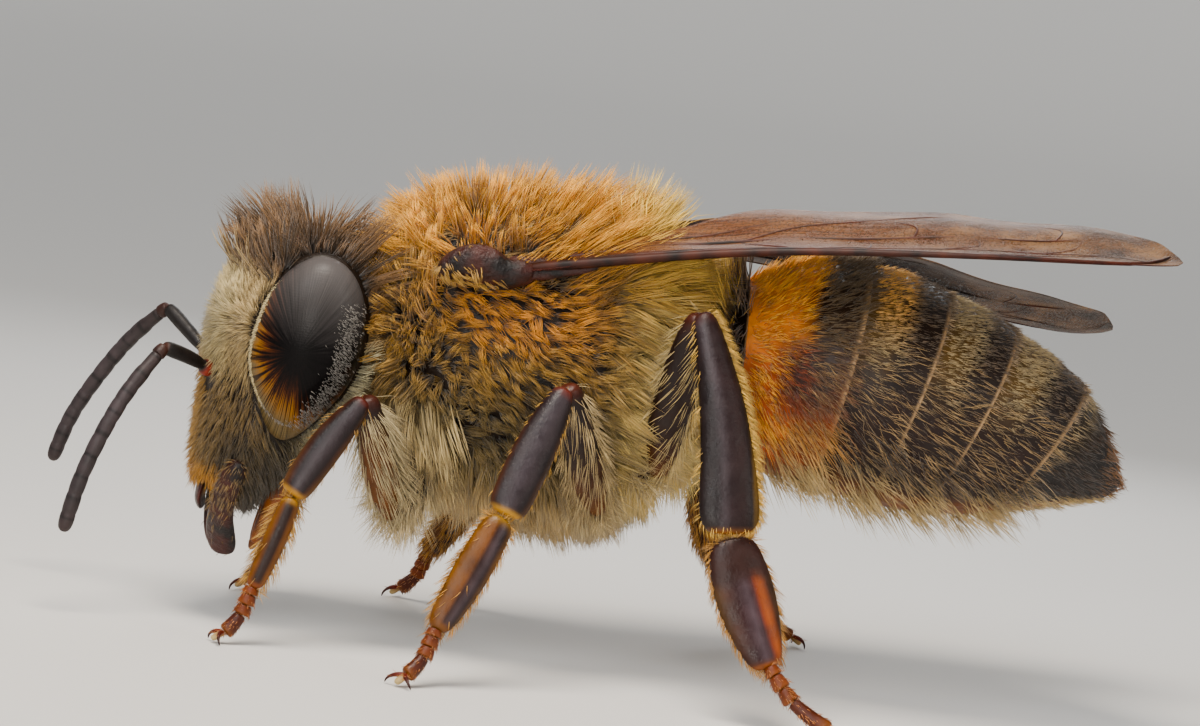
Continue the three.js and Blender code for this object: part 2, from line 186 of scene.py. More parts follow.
# Keeps a row of numbers at each vertex, for the materials to read.
def keep(piece, name, kind, field, rows):
    layer = piece.data.attributes.new(name, kind, "POINT")
    layer.data.foreach_set(field, np.array(rows, np.float32).ravel())


def paint(piece, colours):
    keep(piece, "marking", "FLOAT_COLOR", "color", np.insert(colours, 3, 1.0, axis=1))


def verticesOf(piece):
    flat = np.empty(len(piece.data.vertices) * 3, np.float32)
    piece.data.vertices.foreach_get("co", flat)
    return flat.reshape(-1, 3).astype(float) / mm


# Moves each vertex of a new primitive to where `place` puts it.
def reshape(piece, place):
    settle(piece)
    bpy.ops.object.mode_set(mode="EDIT")
    cage = bmesh.from_edit_mesh(piece.data)
    for vertex in cage.verts:
        vertex.co = place(vertex.co)
    bmesh.update_edit_mesh(piece.data)
    bpy.ops.object.mode_set(mode="OBJECT")


# Gives a function that says which of these places is nearest to each place it is asked about.
def nearestAmong(places):
    tree = KDTree(len(places))
    for n, place in enumerate(places):
        tree.insert(place, n)
    tree.balance()
    return lambda asked: np.array([tree.find(place)[1] for place in asked])


# Materials

def newMaterial(name, values):
    material = bpy.data.materials.new(name)
    material.use_nodes = True
    shader = material.node_tree.nodes["Principled BSDF"]
    setNode(material, shader, values)
    return material, shader


# A value that is another node's output is linked; any other value sets the socket or setting of its name.
def setNode(material, node, values):
    for name, value in values.items():
        if name == "stops":
            while len(node.color_ramp.elements) < len(value):
                node.color_ramp.elements.new(0.5)
            for element, (place, shade) in zip(node.color_ramp.elements, value):
                element.position = place
                element.color = toLinear(shade) if isinstance(shade, str) else (shade, shade, shade, 1)
        elif isinstance(value, bpy.types.NodeSocket):
            material.node_tree.links.new(value, node.inputs[name])
        elif isinstance(name, int) or name in node.inputs:
            node.inputs[name].default_value = toLinear(value) if isinstance(value, str) else value
        else:
            setattr(node, name, value)


def addNode(material, kind, values, output=0):
    node = material.node_tree.nodes.new(f"ShaderNode{kind}")
    setNode(material, node, values)
    return node.outputs[output]


# Camera, light and floor

view = {"azimuth": -3.0, "elevation": 5.0, "roll": 7.9, "distance": 65.0, "pixelsPerMm": 72.0,
        "aim": (0.0, 0.0, 4.2), "sensor": 36.0, "imageWidth": 1200}


def addCamera():
    a, e, r = (math.radians(view[k]) for k in ("azimuth", "elevation", "roll"))
    back = Vector((math.sin(a) * math.cos(e), -math.cos(a) * math.cos(e), math.sin(e)))
    level = Vector((math.cos(a), math.sin(a), 0))
    rise = back.cross(level)
    right = level * math.cos(r) + rise * math.sin(r)
    up = -level * math.sin(r) + rise * math.cos(r)
    data = bpy.data.cameras.new("camera")
    data.sensor_width = view["sensor"]
    data.lens = view["sensor"] * view["distance"] * view["pixelsPerMm"] / view["imageWidth"]
    data.clip_start = 0.001
    camera = bpy.data.objects.new("camera", data)
    turn = Matrix((right, up, back)).transposed().to_4x4()
    turn.translation = point(view["aim"]) + back * view["distance"] * mm
    camera.matrix_world = turn
    bpy.context.collection.objects.link(camera)
    bpy.context.scene.camera = camera


addCamera()

# name: (place in mm, aim, size in mm, power in watts, colour)
lamps = {
    "topLight": ((-5, -9, 32), (0, 0, 4), 14, 0.015, "FFF4E6"),
    "tailLight": ((30, -22, 18), (2, 0, 4), 16, 0.003, "FFF8F0"),
    "backLight": ((6, 34, 22), (0, 0, 5), 22, 0.005, "FFFFFF"),
}
sky = {"place": (-26, -50, 38), "strength": 2.2, "spread": 40, "world": 0.3}
spot = {"place": (-8, -48, 8), "aim": (0.3, 0, 4.2), "power": 0.034, "radius": 5, "cone": 38, "soft": 0.7}


def addLamp(name, kind, place, aim, **settings):
    data = bpy.data.lights.new(name, kind)
    for setting, value in settings.items():
        setattr(data, setting, value)
    lamp = bpy.data.objects.new(name, data)
    lamp.location = point(place)
    lamp.rotation_euler = (point(aim) - point(place)).to_track_quat("-Z", "Y").to_euler()
    bpy.context.collection.objects.link(lamp)


def addLamps():
    for name, (place, aim, size, power, colour) in lamps.items():
        addLamp(name, "AREA", place, aim, shape="DISK", size=size * mm, energy=power,
                color=toLinear(colour)[:3])
    # low and in front, so that its light reaches in under the wings
    addLamp("frontLight", "SPOT", spot["place"], spot["aim"], energy=spot["power"], spot_blend=spot["soft"],
            shadow_soft_size=spot["radius"] * mm, spot_size=math.radians(spot["cone"]),
            color=toLinear("FFFAF2")[:3])
    addLamp("softbox", "SUN", sky["place"], (0, 0, 0), energy=sky["strength"],
            angle=math.radians(sky["spread"]))
    world = bpy.data.worlds.new("studio")
    bpy.context.scene.world = world
    world.use_nodes = True
    world.node_tree.nodes["Background"].inputs["Color"].default_value = toLinear("EDEFF2")
    world.node_tree.nodes["Background"].inputs["Strength"].default_value = sky["world"]


addLamps()
dish = {"size": 1600, "flat": 250, "rise": 450, "height": 330}


def addFloor():
    deselectAll()
    bpy.ops.mesh.primitive_grid_add(x_subdivisions=80, y_subdivisions=80, size=dish["size"] * mm)
    floor = bpy.context.object
    floor.name = "floor"

    def lifted(spot):
        share = min(1, max(0, spot.xy.length / mm - dish["flat"]) / dish["rise"])
        return Vector((spot.x, spot.y, dish["height"] * mm * share * share))

    reshape(floor, lifted)
    bpy.ops.object.shade_smooth()
    material, _ = newMaterial("matt painted board", {"Roughness": 0.8, "Base Color": "DAD8D4"})
    floor.data.materials.append(material)


addFloor()
print("camera, lamps and floor ready")


# Body skin: head, neck, thorax, waist and abdomen, inside the solids by the depth of the coat

# slices across the head's height: [height, front, back, half width], in the head's own frame
head = {
    "centre": (-4.35, 0, 3.55), "pitch": 8, "yaw": 4,
    "slices": [
        [-1.9, 0.6, 0.1, 0.34],
        [-1.78, 0.78, -0.1, 0.6],
        [-1.3, 0.92, -0.5, 0.92],
        [-0.6, 0.98, -0.78, 1.16],
        [0.1, 1.08, -0.85, 1.28],
        [0.8, 1.1, -0.88, 1.34],
        [1.3, 0.98, -0.85, 1.24],
        [1.6, 0.74, -0.7, 0.95],
        [1.76, 0.36, -0.4, 0.45],
    ],
}
headTurn = (Matrix.Rotation(math.radians(head["yaw"]), 4, "Z")
            @ Matrix.Rotation(math.radians(head["pitch"]), 4, "Y"))


def inHead(front, side, up):
    return headTurn @ Vector((-front, side, up)) + Vector(head["centre"])


def headAxis(front, side, up):
    return inHead(front, side, up) - Vector(head["centre"])


# Front, side and height of places in the head's own frame.
def headPlace(places):
    local = (places - np.array(head["centre"])) @ np.array(headTurn.to_3x3())
    return -local[:, 0], local[:, 1], local[:, 2]


def makeHead():
    rings = []
    for up, front, back, half in head["slices"]:
        middle = inHead((front + back) / 2, 0, up)
        rings.append(ring(middle, headAxis(0, 0, 1), headAxis(1, 0, 0), 2 * half, front - back))
    return growTube("headCapsule", rings, 16, 3)


# stations along the body: [x, z, lean, half width, up, down]
thoraxStations = [
    [-3.0, 4.05, -6, 0.5, 0.5, 0.5],
    [-2.86, 4.15, -8, 1.15, 1.2, 1.1],
    [-2.45, 4.25, -6, 1.6, 1.7, 1.65],
    [-1.7, 4.25, 0, 1.84, 1.86, 1.95],
    [-0.8, 4.22, 0, 1.9, 1.92, 2.05],
    [0.0, 4.12, 4, 1.78, 1.84, 1.95],
    [0.5, 4.02, 8, 1.55, 1.6, 1.75],
    [0.95, 3.98, 6, 1.15, 1.05, 1.3],
    [1.25, 4.05, 0, 0.55, 0.5, 0.6],
]
waistStations = [
    [-3.6, 3.65, 0, 0.34, 0.34, 0.34],
    [-2.6, 3.75, 0, 0.36, 0.36, 0.36],
    [-1.0, 4.0, 0, 0.36, 0.36, 0.36],
    [0.9, 4.12, 0, 0.36, 0.36, 0.36],
    [1.35, 4.15, 0, 0.3, 0.3, 0.3],
    [1.9, 4.2, 0, 0.36, 0.36, 0.36],
    [2.6, 4.3, 0, 0.36, 0.36, 0.36],
]
# rear edges of the abdomen's rings: [x, z, lean, half width, up, down]
ringEdges = [
    [1.42, 4.18, 0, 0.5, 0.52, 0.45],
    [1.86, 4.36, 1, 1.42, 1.32, 1.14],
    [3.28, 4.45, 9, 1.96, 1.65, 1.51],
    [4.25, 4.28, 16, 1.93, 1.61, 1.53],
    [5.13, 4.07, 22, 1.74, 1.48, 1.45],
    [6.18, 3.81, 31, 1.31, 1.13, 1.14],
    [7.32, 3.38, 42, 0.2, 0.2, 0.2],
]
ringStep = 0.045      # how far each rear edge stands over the next ring


def bodyRing(x, z, lean, half, up, down, grow=0.0):
    tilt = math.radians(lean)
    upward = Vector((math.sin(tilt), 0, math.cos(tilt)))
    centre = Vector((x, 0, z)) + upward * (up - down) / 2
    return ring(centre, (math.cos(tilt), 0, -math.sin(tilt)), upward, 2 * (half + grow),
                up + down + 2 * grow)


def makeAbdomen():
    edges = np.array(ringEdges)
    bulge = [0.08, 0.14, 0.05, 0.03, 0.03, 0.05]      # how full each ring is in its middle
    rows = []
    for n in range(len(edges) - 1):
        front, rear = edges[n], edges[n + 1]
        first = -ringStep if n else -0.1
        for share, grow in ((0.0, first), (0.12, -ringStep * 0.5), (0.5, bulge[n]), (0.9, 0.004),
                            (0.985, 0.0)):
            row = front + (rear - front) * share
            rows.append(bodyRing(*row, grow))
        rows.append(bodyRing(*rear, -0.006))
    tail = edges[-1].copy()
    tail[0] += 0.06
    tail[3:] = 0.06
    rows.append(bodyRing(*tail))
    return growTube("abdomenShell", rows, 20, 2)


def unite(name, first, others):
    for other in others:
        modify(first, "BOOLEAN", operation="UNION", object=other, solver="MANIFOLD")
        bpy.data.objects.remove(other)
    first.name = name
    first.data.name = name
    return first


eyes = {"front": -0.14, "side": 1.29, "up": 0.44, "depth": 1.46, "bulge": 1.2, "length": 2.62, "cant": 9,
        "topSwell": 0.06, "footTaper": 0.3, "rim": 0.15}


def eyeWidth(z):
    return 1 + eyes["topSwell"] * between(0.0, 0.35, z) - eyes["footTaper"] * between(0.05, 0.5, -z)


def eyeTurn(side):
    turn = headTurn @ Matrix.Rotation(math.radians(-side * eyes["cant"]), 4, "X")
    turn.translation = inHead(eyes["front"], side * eyes["side"], eyes["up"])
    return turn


# The raised rim around each eye.
def makeOrbit(side):
    deselectAll()
    ringRadius, tube = 0.46, 0.1
    bpy.ops.mesh.primitive_torus_add(major_segments=40, minor_segments=10, major_radius=ringRadius,
                                     minor_radius=tube)
    piece = bpy.context.object
    turn = eyeTurn(side)
    settle(piece)
    bpy.ops.object.mode_set(mode="EDIT")
    cage = bmesh.from_edit_mesh(piece.data)
    for vertex in cage.verts:
        x, z, y = vertex.co
        reach = math.hypot(x, z)
        out = (reach - ringRadius) / tube * eyes["rim"]
        way = Vector((x, 0, z)) / reach
        wide, long = eyes["depth"] * eyeWidth(way.z / 2), eyes["length"]
        spot = Vector((way.x * ringRadius * wide, 0, way.z * ringRadius * long))
        spot += way * out + Vector((0, y / tube * eyes["rim"] - side * 0.13, 0))
        vertex.co = (turn @ spot) * mm
    bpy.ops.mesh.select_all(action="SELECT")
    bpy.ops.mesh.normals_make_consistent(inside=False)
    bpy.ops.object.mode_set(mode="OBJECT")
    smooth(piece, 1)
    return piece


headSkin = makeHead()
thoraxSkin = growTube("thoraxSkin", [bodyRing(*row) for row in thoraxStations], 20, 3)
waistSkin = growTube("waistSkin", [bodyRing(*row) for row in waistStations], 12, 2)
abdomenSkin = makeAbdomen()
scutellum = growTube("scutellum", [bodyRing(*row) for row in (
    [-0.05, 5.72, 30, 0.5, 0.2, 0.2], [0.1, 5.72, 30, 0.9, 0.32, 0.3], [0.35, 5.62, 34, 0.86, 0.32, 0.3],
    [0.52, 5.5, 38, 0.5, 0.2, 0.2])], 14, 3)
orbits = [makeOrbit(side) for side in (-1, 1)]
bodySkin = unite("bodySkin", thoraxSkin, [headSkin, waistSkin, scutellum, abdomenSkin, *orbits])
pick(bodySkin)
bpy.ops.object.shade_smooth()
print("body skin:", len(bodySkin.data.polygons), "faces")


# Where a point lies on the abdomen: ring number, share of the ring from front to rear, angle from the top.
def ringPlace(places):
    edges = np.array(ringEdges)
    tilt = np.radians(edges[:, 2])
    normals = np.stack([np.cos(tilt), 0 * tilt, -np.sin(tilt)], axis=1)
    centres = np.stack([edges[:, 0], 0 * tilt, edges[:, 1]], axis=1)
    ahead = np.einsum("nk,ek->ne", places, normals) - np.einsum("ek,ek->e", centres, normals)
    number = np.clip((ahead > 0).sum(axis=1), 1, len(edges) - 1)
    rows = np.arange(len(places))
    before, after = ahead[rows, number - 1], ahead[rows, number]
    share = np.clip(before / np.maximum(before - after, 1e-6), 0, 1)
    middle = centres[number - 1] + (centres[number] - centres[number - 1]) * share[:, None]
    lean = tilt[number - 1] + (tilt[number] - tilt[number - 1]) * share
    rise = (places[:, 0] - middle[:, 0]) * np.sin(lean) + (places[:, 2] - middle[:, 2]) * np.cos(lean)
    return number, share, np.degrees(np.arctan2(np.abs(places[:, 1]), rise))


def blended(first, second, weight):
    return first + (second - first) * np.asarray(weight)[:, None]


def tone(hexColour):
    return np.array(toLinear(hexColour)[:3])


# Lays tones over a colour one after another, each as strongly as its weight says at each place.
def layered(colour, tones, *layers):
    for name, weight in layers:
        colour = blended(colour, tone(tones[name]), weight)
    return colour


markings = {
    "face": "1E140B", "lipRim": "B0700C", "thorax": "20140A", "frost": "5C5E60", "waist": "20120A",
    "orange": "F08C02", "deepOrange": "C05404", "band": "2E1C0E", "patch": "2C0C04", "brown": "24150B",
    "gold": "6A4E20", "dark": "20130B", "lowSide": "1E0A05", "edge": "C8A070", "belly": "8A4A0C",
    "tail": "0E0806",
}


# The dark rear band of the second ring, a little wavy and fading down its sides.
def secondBand(share, angle):
    start = 0.5 + 0.05 * np.sin(np.radians(angle) * 5)
    return between(start, start + 0.1, share) * (1 - 0.5 * between(60, 110, angle))


# The colour of the shell at a place on head, thorax or abdomen.
def bodyMarking(places):
    x, y, z = places.T
    front, side, up = headPlace(places)
    onTop = between(5.3, 5.9, z) * between(-3.0, -2.6, x) * (1 - between(0.3, 0.7, x))
    onHead = 1 - between(-3.25, -3.1, x)
    lip = onHead * (1 - between(-1.72, -1.6, up)) * between(0.2, 0.4, front)
    colour = layered(tone(markings["thorax"]), markings, ("frost", 0.75 * onTop), ("face", onHead),
                     ("lipRim", lip))

    number, share, angle = ringPlace(places)
    second, late, ahead = number == 2, number >= 3, 1 - between(0.38, 0.52, share)
    blob = np.exp(-((share - 0.64) / 0.36) ** 4 - ((angle - 84) / 18) ** 4)
    edge = between(0.945, 0.975, share) * (number < 6) * (1 - 0.6 * between(85, 115, angle))
    ringColour = layered(
        tone(markings["waist"]), markings, ("orange", second),
        ("deepOrange", second * between(55, 90, angle)), ("patch", second * blob),
        ("band", second * secondBand(share, angle)), ("brown", late),
        ("gold", late * ahead * (1 - between(55, 95, angle)) * 0.8), ("dark", late * (1 - ahead) * 0.85),
        ("lowSide", late * between(70, 95, angle)), ("tail", (number >= 6) * 0.8), ("edge", edge * 0.75),
        ("belly", between(128, 146, angle) * 0.8))
    return blended(colour, ringColour, between(1.3, 1.5, x))


# Chitin with pits `grain` mm apart, clouded over a few grains, its gloss uneven where the wax is worn
def makeShellMaterial(name, rough, grain, depth, gloss):
    material, shader = newMaterial(name, {"IOR": 1.56, "Specular IOR Level": gloss})
    place = addNode(material, "TexCoord", {}, "Object")
    marking = addNode(material, "Attribute", {"attribute_name": "marking"})
    cloud = addNode(material, "TexNoise", {"Vector": place, "Scale": 1 / (grain * 6 * mm), "Detail": 4})
    cloud = addNode(material, "ValToRGB", {0: cloud, "stops": [(0.3, "6E6A66"), (0.7, "FFFFFF")]})
    colour = addNode(material, "Mix", {"data_type": "RGBA", "blend_type": "MULTIPLY", 0: 0.6, 6: marking,
                                       7: cloud}, 2)
    worn = addNode(material, "TexNoise", {"Vector": place, "Scale": 1 / (grain * 3 * mm), "Detail": 2})
    worn = addNode(material, "ValToRGB", {0: worn, "stops": [(0.3, rough - 0.1), (0.75, rough + 0.15)]})
    pits = addNode(material, "TexNoise", {"Vector": place, "Scale": 1 / (grain * mm), "Detail": 5,
                                          "Roughness": 0.6})
    bump = addNode(material, "Bump", {"Height": pits, "Distance": depth * mm, "Strength": 0.8})
    setNode(material, shader, {"Base Color": colour, "Roughness": worn, "Normal": bump})
    return material


# Body shell: chitin, waxed and finely pitted, a satin gloss that hair pits break up
bodyShell = makeShellMaterial("pitted chitin, waxed", 0.42, 0.045, 0.012, 0.22)
paint(bodySkin, bodyMarking(verticesOf(bodySkin)))
finishPiece(bodySkin,
            ["head", "neck", "thorax", "petiole"] + [f"abdomen_{n}" for n in range(1, 7)], bodyShell)


# Eyes

def makeEyeMaterial():
    # Compound eye: clear lens cuticle over dark pigment, soft gloss, amber rays where light leaks in at the
    # rim,
    # and a painted sheen: grey mixed into the colour over its top, in place of a reflection of the light
    # above
    material, shader = newMaterial("compound eye lens cuticle",
                                   {"Roughness": 0.36, "IOR": 1.5, "Specular IOR Level": 0.1})
    rays = addNode(material, "Attribute", {"attribute_name": "eyeRays"}, "Vector")
    light = addNode(material, "Attribute", {"attribute_name": "eyeLeak"}, "Vector")
    leak = addNode(material, "SeparateXYZ", {0: light}, "X")
    above = addNode(material, "SeparateXYZ", {0: light}, "Y")
    streak = addNode(material, "TexNoise", {"Vector": rays, "Scale": 1.6, "Detail": 2, "Roughness": 0.6})
    rim = addNode(material, "Math", {"operation": "MULTIPLY_ADD", 0: streak, 1: 0.72, 2: leak})
    glow = addNode(material, "ValToRGB", {0: rim, "stops": [
        (0.5, "050304"), (0.64, "1C0A04"), (0.76, "462005"), (0.88, "86560C"), (1.0, "665432")]})
    gaps = addNode(material, "ValToRGB", {0: streak, "stops": [(0.4, 0.12), (0.52, 1.0)]})
    glow = addNode(material, "Mix", {"data_type": "RGBA", "blend_type": "MULTIPLY", 0: 1.0, 6: glow,
                                     7: gaps}, 2)
    # painted sheen: the colour turns grey (54504F) towards the top of the eye, standing in for a soft
    # reflection
    crown = addNode(material, "Math", {"operation": "MULTIPLY_ADD", 0: streak, 1: 0.55, 2: above})
    paintedSheen = addNode(material, "ValToRGB", {0: crown, "stops": [(0.1, 0.0), (0.55, 0.32), (1.0, 0.78)]})
    colour = addNode(material, "Mix", {"data_type": "RGBA", 0: paintedSheen, 6: glow, 7: "54504F"}, 2)
    place = addNode(material, "TexCoord", {}, "Object")
    facets = addNode(material, "TexVoronoi", {"Vector": place, "Scale": 1 / (0.035 * mm),
                                              "Randomness": 0.35})
    bump = addNode(material, "Bump", {"Height": facets, "Distance": 0.006 * mm, "Strength": 0.35})
    setNode(material, shader, {"Base Color": colour, "Normal": bump})
    return material


# For a place on the eye, across and up from its middle, each from -0.5 to 0.5: the ray that it lies on, how
# much light leaks out there, and how strong the painted sheen is there, rising towards the top of the eye.
def eyeLight(across, up):
    aside, over = (across + 0.1) * 1.7, up - 0.02
    angle = math.atan2(aside, over)
    reach = math.hypot(aside, over)
    out = max(math.hypot(across, up), 0.01)
    leak = 1.7 * out - 0.29 + (0.28 * max(0, -up) - 0.3 * max(0, across) - 0.35 * max(0, up)) / out
    return (17 * math.cos(angle), 17 * math.sin(angle), 1.2 * reach), (leak, 2.3 * over - 0.28, 0)


def makeEye(name, side):
    deselectAll()
    bpy.ops.mesh.primitive_uv_sphere_add(segments=72, ring_count=54, radius=0.5)
    piece = bpy.context.object
    piece.name = name
    turn = eyeTurn(side)
    rays, leaksAndSheens = [], []

    def placed(spot):
        ray, leak = eyeLight(spot.x, spot.z)
        rays.append(ray)
        leaksAndSheens.append(leak)
        across = spot.x * eyes["depth"] * eyeWidth(spot.z)
        return (turn @ Vector((across, spot.y * eyes["bulge"], spot.z * eyes["length"]))) * mm

    reshape(piece, placed)
    keep(piece, "eyeRays", "FLOAT_VECTOR", "vector", rays)
    keep(piece, "eyeLeak", "FLOAT_VECTOR", "vector", leaksAndSheens)
    bpy.ops.object.shade_smooth()
    return piece


eyeMaterial = makeEyeMaterial()
for name, side in (("left", -1), ("right", 1)):
    finishPiece(makeEye(f"eye{name.title()}", side), [f"eye_{name}"], eyeMaterial)

ocelliPlaces = [(0.62, 0.0, 1.66), (0.3, -0.3, 1.78), (0.3, 0.3, 1.78)]


def makeOcelli():
    # Ocelli: clear bead lenses over pinkish pigment
    material, shader = newMaterial("ocellus lens cuticle", {"Roughness": 0.12, "IOR": 1.5})
    place = addNode(material, "TexCoord", {}, "Object")
    cloud = addNode(material, "TexNoise", {"Vector": place, "Scale": 1 / (0.08 * mm), "Detail": 2})
    colour = addNode(material, "ValToRGB", {0: cloud, "stops": [(0.3, "3A1E1C"), (0.7, "7A4A44")]})
    setNode(material, shader, {"Base Color": colour})
    beads = []
    for n, place in enumerate(ocelliPlaces):
        outward = headAxis(0.35, place[1], 1.0)
        base = inHead(*place)
        rows = [(-0.08, 0.14), (-0.02, 0.2), (0.04, 0.18), (0.08, 0.1)]
        beads.append(growTube(f"bead{n}", [ring(base + outward.normalized() * up, outward, (0, 1, 0), w, w)
                                           for up, w in rows], 8, 2))
    finishPiece(joined("ocelli", beads), [], material)


makeOcelli()
print("eyes ready")

# Mouthparts

jaws = {
    "path": [(0.26, 0.95, -1.3), (0.36, 0.86, -1.7), (0.34, 0.62, -2.14), (0.2, 0.34, -2.5),
             (0.12, 0.24, -2.7)],
    "stations": [[0, 0.2, 0.2], [0.07, 0.32, 0.28], [0.25, 0.34, 0.28], [0.5, 0.36, 0.22],
                 [0.75, 0.46, 0.18], [0.92, 0.44, 0.13], [1, 0.24, 0.07]],
}


def makeHorn(name, rough, dark, light, furrow):
    # Horn of jaws and scales: sclerotised chitin, glossy, deep red where it is thin
    material, shader = newMaterial(name, {"Roughness": rough, "IOR": 1.56, "Specular IOR Level": 0.25})
    place = addNode(material, "TexCoord", {}, "Object")
    cloud = addNode(material, "TexNoise", {"Vector": place, "Scale": 1 / (0.35 * mm), "Detail": 4})
    colour = addNode(material, "ValToRGB", {0: cloud, "stops": [(0.38, dark), (0.64, light)]})
    folds = addNode(material, "TexNoise", {"Vector": place, "Scale": 1 / (furrow * mm), "Detail": 6,
                                           "Roughness": 0.6})
    bump = addNode(material, "Bump", {"Height": folds, "Distance": furrow * 0.5 * mm, "Strength": 0.8})
    setNode(material, shader, {"Base Color": colour, "Normal": bump})
    return material


hornMaterial = makeHorn("sclerotised jaw horn", 0.36, "100807", "40160C", 0.09)


def makeMouth():
    for name, side in (("left", -1), ("right", 1)):
        path = [inHead(front, side * out, up) for front, out, up in jaws["path"]]
        jaw = growLimb(f"mandible{name.title()}", path, jaws["stations"], (-0.4, side, 0.0), 12, 2)
        finishPiece(jaw, [f"mandible_{name}"], hornMaterial)
    # Labrum: a thin plate hinged under the face, amber above and dark below
    path = [inHead(0.62, 0, -1.76), inHead(0.66, 0, -1.96), inHead(0.56, 0, -2.16)]
    lip = growLimb("labrum", path, [[0, 0.7, 0.1], [0.15, 0.9, 0.16], [0.6, 1.0, 0.16], [0.9, 0.8, 0.12],
                                    [1, 0.5, 0.06]],
                   (-1, 0, 0), 14, 2)
    finishPiece(lip, ["labrum"], hornMaterial)
    # Proboscis: folded back between the jaws, two galeae over the tongue
    material, shader = newMaterial("folded mouthpart chitin",
                                   {"Roughness": 0.4, "IOR": 1.5, "Specular IOR Level": 0.3})
    place = addNode(material, "TexCoord", {}, "Object")
    cloud = addNode(material, "TexNoise", {"Vector": place, "Scale": 1 / (0.3 * mm), "Detail": 3})
    colour = addNode(material, "ValToRGB", {0: cloud, "stops": [(0.3, "3A1608"), (0.7, "9A5414")]})
    setNode(material, shader, {"Base Color": colour})
    parts = []
    for n, out in enumerate((-0.2, 0.2, 0.0)):
        drop = 0.12 if out == 0 else 0
        path = [inHead(-0.62, out * 1.4, -0.95 - drop), inHead(-0.42, out * 1.3, -1.6 - drop),
                inHead(-0.3, out, -2.1 - drop), inHead(-0.24, out * 0.5, -2.45 - drop)]
        parts.append(growLimb(f"mouth{n}", path, [[0, 0.3, 0.26], [0.3, 0.4, 0.34], [0.7, 0.3, 0.24],
                                                  [0.93, 0.16, 0.14], [1, 0.08, 0.08]], (1, 0, 0), 10, 2))
    finishPiece(joined("proboscis", parts), ["proboscis"], material)


makeMouth()

# Feelers: a scape on a red ball joint, a pedicel bead, and ten rings of the flagellum

feelers = {
    "left": {"scape": [(-5.3, -0.48, 3.42), (-5.62, -0.78, 3.6), (-5.97, -1.08, 3.72)],
             "whip": [(-5.96, -1.07, 3.73), (-6.42, -1.42, 2.98), (-6.8, -1.58, 1.98), (-6.98, -1.6, 1.1)]},
    "right": {"scape": [(-5.34, 0.46, 3.48), (-5.72, 0.8, 3.8), (-6.08, 1.08, 4.08)],
              "whip": [(-6.07, 1.07, 4.09), (-6.64, 1.48, 3.42), (-7.22, 1.76, 2.4), (-7.46, 1.8, 1.62)]},
    "scapeWidth": 0.2, "whipWidth": 0.215, "whipRings": 10,
}


def shadeBetween(values, stops):
    table = np.array([tone(colour) for stop, colour in stops])
    return np.stack([np.interp(values, [stop for stop, colour in stops], table[:, k]) for k in range(3)],
                    axis=1)


# Colours that change along a limb; rings darken the joints between a feeler's rings.
def paintAlong(piece, joints, stops, rings=0):
    fine = 240
    along = nearestAmong(spline(joints, fine))(verticesOf(piece)) / fine
    colours = shadeBetween(along, stops)
    if rings:
        colours *= (0.35 + 0.65 * between(0.03, 0.12, 0.5 - np.abs((along * rings) % 1 - 0.5)))[:, None]
    paint(piece, colours)


feelerShell = makeShellMaterial("sensory chitin, dull", 0.5, 0.03, 0.006, 0.25)


def makeFeeler(name):
    scapePath, whipPath = feelers[name]["scape"], feelers[name]["whip"]
    w = feelers["scapeWidth"]
    scape = growLimb("scape", scapePath, [[0, 0.12, 0.12], [0.04, 0.2, 0.2], [0.12, 0.25, 0.25],
                                          [0.19, 0.2, 0.2],
                                          [0.23, 0.12, 0.12], [0.28, 0.17, 0.17], [0.5, w, w],
                                          [0.85, w * 1.05, w * 1.05],
                                          [0.96, w * 0.95, w * 0.95], [1, w * 0.6, w * 0.6]], (0, 1, 0.2),
                                          10, 2)
    paintAlong(scape, scapePath, [(0, "A6300C"), (0.2, "962A0A"), (0.25, "140C0A"), (0.92, "140E0C"),
                                  (1, "4A2416")])
    pedicel = growLimb("pedicel", [whipPath[0], spline(whipPath, 12)[1]],
                       [[0, 0.14, 0.14], [0.12, 0.17, 0.17], [0.6, 0.2, 0.2], [0.95, 0.2, 0.2],
                        [1, 0.14, 0.14]],
                       (0, 1, 0.2), 10, 2)
    paintAlong(pedicel, whipPath[:2], [(0, "3A1A10"), (0.3, "2E1C18"), (1, "2A1C1A")])
    w = feelers["whipWidth"]
    stations = []
    count = feelers["whipRings"]
    for n in range(count):
        start, stop = 0.05 + 0.95 * n / count, 0.05 + 0.95 * (n + 1) / count
        full = w * (0.85 if n == 0 else 1.0)
        stations += [[start + 0.003, full * 0.88, full * 0.88], [start + 0.012, full, full]]
        stations.append([stop - 0.012, full, full] if n < count - 1 else [0.965, full * 0.94, full * 0.94])
    stations += [[0.988, w * 0.72, w * 0.72], [1, w * 0.3, w * 0.3]]
    whip = growLimb("whip", whipPath, stations, (0, 1, 0.2), 12, 2)
    paintAlong(whip, whipPath, [(0, "2E2220"), (0.3, "3A3032"), (0.8, "352C2E"), (1, "3A2C2C")],
               feelers["whipRings"])
    finishPiece(joined(f"feeler{name.title()}", [scape, pedicel, whip]),
                [f"scape_{name}", f"flagellum_{name}"], feelerShell)


for name in ("left", "right"):
    makeFeeler(name)
print("feelers ready")

# Legs

